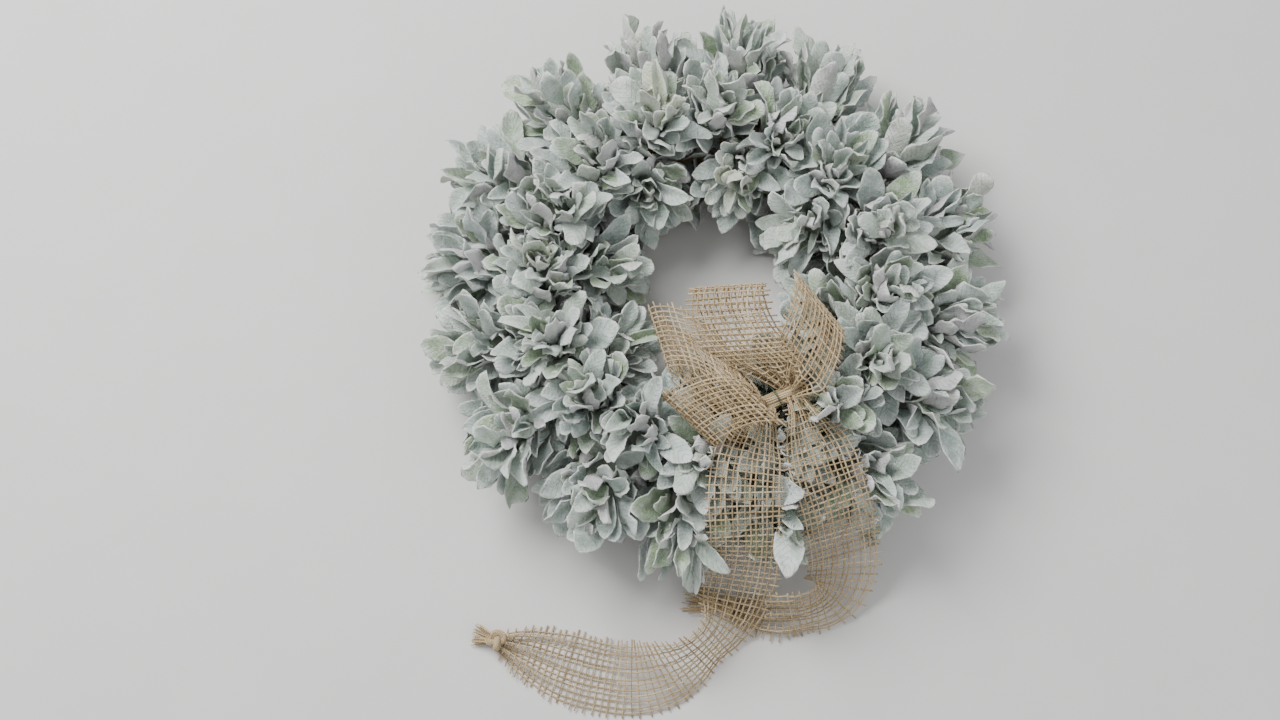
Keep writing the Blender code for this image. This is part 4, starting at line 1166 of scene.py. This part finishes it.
def makeFoliage(tree, name, leaves, stem=None):
    draw = random.Random("looks " + name)
    shade = draw.uniform(-leafLooks["sprigSpread"], leafLooks["sprigSpread"])
    stem = stem or {"path": [], "radii": []}
    points = [leaf["root"] for leaf in leaves] + list(stem["path"])
    first = len(leaves)
    edges = [(i, i + 1) for i in range(first, len(points) - 1)]
    extra = len(stem["path"])
    columns = {name: [leaf[name] for leaf in leaves] + [(0.0, 0.0, 0.0)] * extra for name in vectors}
    for leaf in leaves:
        if draw.random() < leafLooks["green"]:
            leaf["tone"] = draw.uniform(*leafLooks["greenTones"])
        else:
            tone = draw.gauss(leafLooks["tone"], leafLooks["toneSpread"]) + shade
            leaf["tone"] = min(max(tone, 0), leafLooks["toneMost"])
        leaf["wave"], leaf["phase"] = draw.uniform(*leafLooks["waves"]), draw.uniform(0, 2 * math.pi)
        leaf["tip"] = draw.choice(leafLooks["tips"]) * draw.random()
        leaf["blunt"] *= leafLooks["pointed"]
    for name in numbers:
        columns[name] = [leaf[name] for leaf in leaves] + [-1.0 if name == "length" else 0.0] * extra
    innerHeart = math.cos(math.pi / stemShape["sides"])
    thick = list(stem["radii"][:3]) + [radius * innerHeart * 0.92 for radius in stem["radii"][3:7]]
    thick += [radius * 0.8 for radius in stem["radii"][7:]]
    columns["thick"] = [0.0] * len(leaves) + thick
    # painted shade: a little on the laid stem, much on the heart, none on the bud or the leaves
    columns["paintedShade"] = [0.0] * len(leaves) + ([0.4] * 3 + [0.85] * 4 + [0.0] * 2)[:extra]
    columns["young"][first:] = ([0.0] * 7 + [1.0] * 2)[:extra]
    columns["tone"][first:] = [0.9] * extra
    source = pointCloud("sprigPoints", points, edges, columns)
    values = {"Stations": blade["stations"], "Cells": blade["cells"] + 1, "Felt": blade["felt"],
              "Keel": blade["keel"], "Groove": blade["groove"], "Quilt": blade["quilt"], "Sides": 10,
              "Finish": feltFinish}
    return grown(name, source, tree, values, {"share", "across", "skin", "tone", "young", "paintedShade"})


stems, leavesOf, tuckedLeaves = growSprigs()
bladeMaker = bladeTree()
for sprig, leaves in leavesOf.items():
    place = f"{sprig[0]}_{sprig[1] + 1:02d}"
    piece = makeFoliage(bladeMaker, "leafySprig_" + place, leaves, stems[sprig])
    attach(piece, "root")
    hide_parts("sprig_" + place)
for number in range(roll["turns"]):
    low = number * 2 * math.pi / roll["turns"]
    high = low + 2 * math.pi / roll["turns"]
    here = [leaf for leaf in tuckedLeaves if low <= math.atan2(*leaf["root"][1::-1]) % (2 * math.pi) < high]
    piece = makeFoliage(bladeMaker, f"tuckedLeaves_{number + 1:02d}", here)
    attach(piece, "root")
print("sprigs made")


# What every other piece stands for

for piece, node, slotName in ((strawPiece, "straw_ring", "straw"), (bindingPiece, "binding_wire", "wire"),
                              (bowWirePiece, "bow_wire", "wire")):
    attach(piece, "root")
    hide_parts(node)
for piece, _ in ribbonPieces:
    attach(piece, "root")
    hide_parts("jute_ribbon")

(bowPiece, bowLength), (leftTail, leftLength), (leftKnot, _) = ribbonPieces[:3]
(rightTail, rightLength), (rightKnot, _) = ribbonPieces[3:]


# Floor, light and camera

view = {"elevation": 75, "distance": 1.35, "aim": (-54 * mm, -53.5 * mm, 45 * mm), "widthSeen": 0.96,
        "sensor": 36.0}
floorSide = 6.0
air = {"colour": (0.93, 0.96, 1.0, 1.0), "strength": 0.52}
lights = {
    "windowLight": dict(place=(-0.9, 0.8, 1.5), size=1.1, power=52.0),
    "fillLight": dict(place=(1.3, -0.9, 1.4), size=1.4, power=9.0),
}


def makeStage():
    bpy.ops.mesh.primitive_plane_add(size=floorSide)
    floor = bpy.context.object
    floor.name = "paleFloor"
    floor.data.materials.append(palePaper())
    world = bpy.data.worlds.new("studioAir")
    world.use_nodes = True
    sky = world.node_tree.nodes["Background"]
    sky.inputs["Color"].default_value = air["colour"]
    sky.inputs["Strength"].default_value = air["strength"]
    bpy.context.scene.world = world
    for name, facts in lights.items():
        light = bpy.data.lights.new(name, "AREA")
        light.size, light.energy = facts["size"], facts["power"]
        lamp = bpy.data.objects.new(name, light)
        lamp.location = facts["place"]
        lamp.rotation_euler = (-Vector(facts["place"])).to_track_quat("-Z", "Y").to_euler()
        bpy.context.scene.collection.objects.link(lamp)


def makeCamera():
    lens = bpy.data.cameras.new("photoCamera")
    lens.sensor_width = view["sensor"]
    lens.lens = view["sensor"] * view["distance"] / view["widthSeen"]
    camera = bpy.data.objects.new("photoCamera", lens)
    tilt = math.radians(view["elevation"])
    aim = Vector(view["aim"]) + Vector(ringCentre)
    away = Vector((0.0, -math.cos(tilt), math.sin(tilt)))
    camera.location = aim + away * view["distance"]
    camera.rotation_euler = (-away).to_track_quat("-Z", "Y").to_euler()
    bpy.context.scene.collection.objects.link(camera)
    bpy.context.scene.camera = camera


makeStage()
makeCamera()
print("stage and camera set")
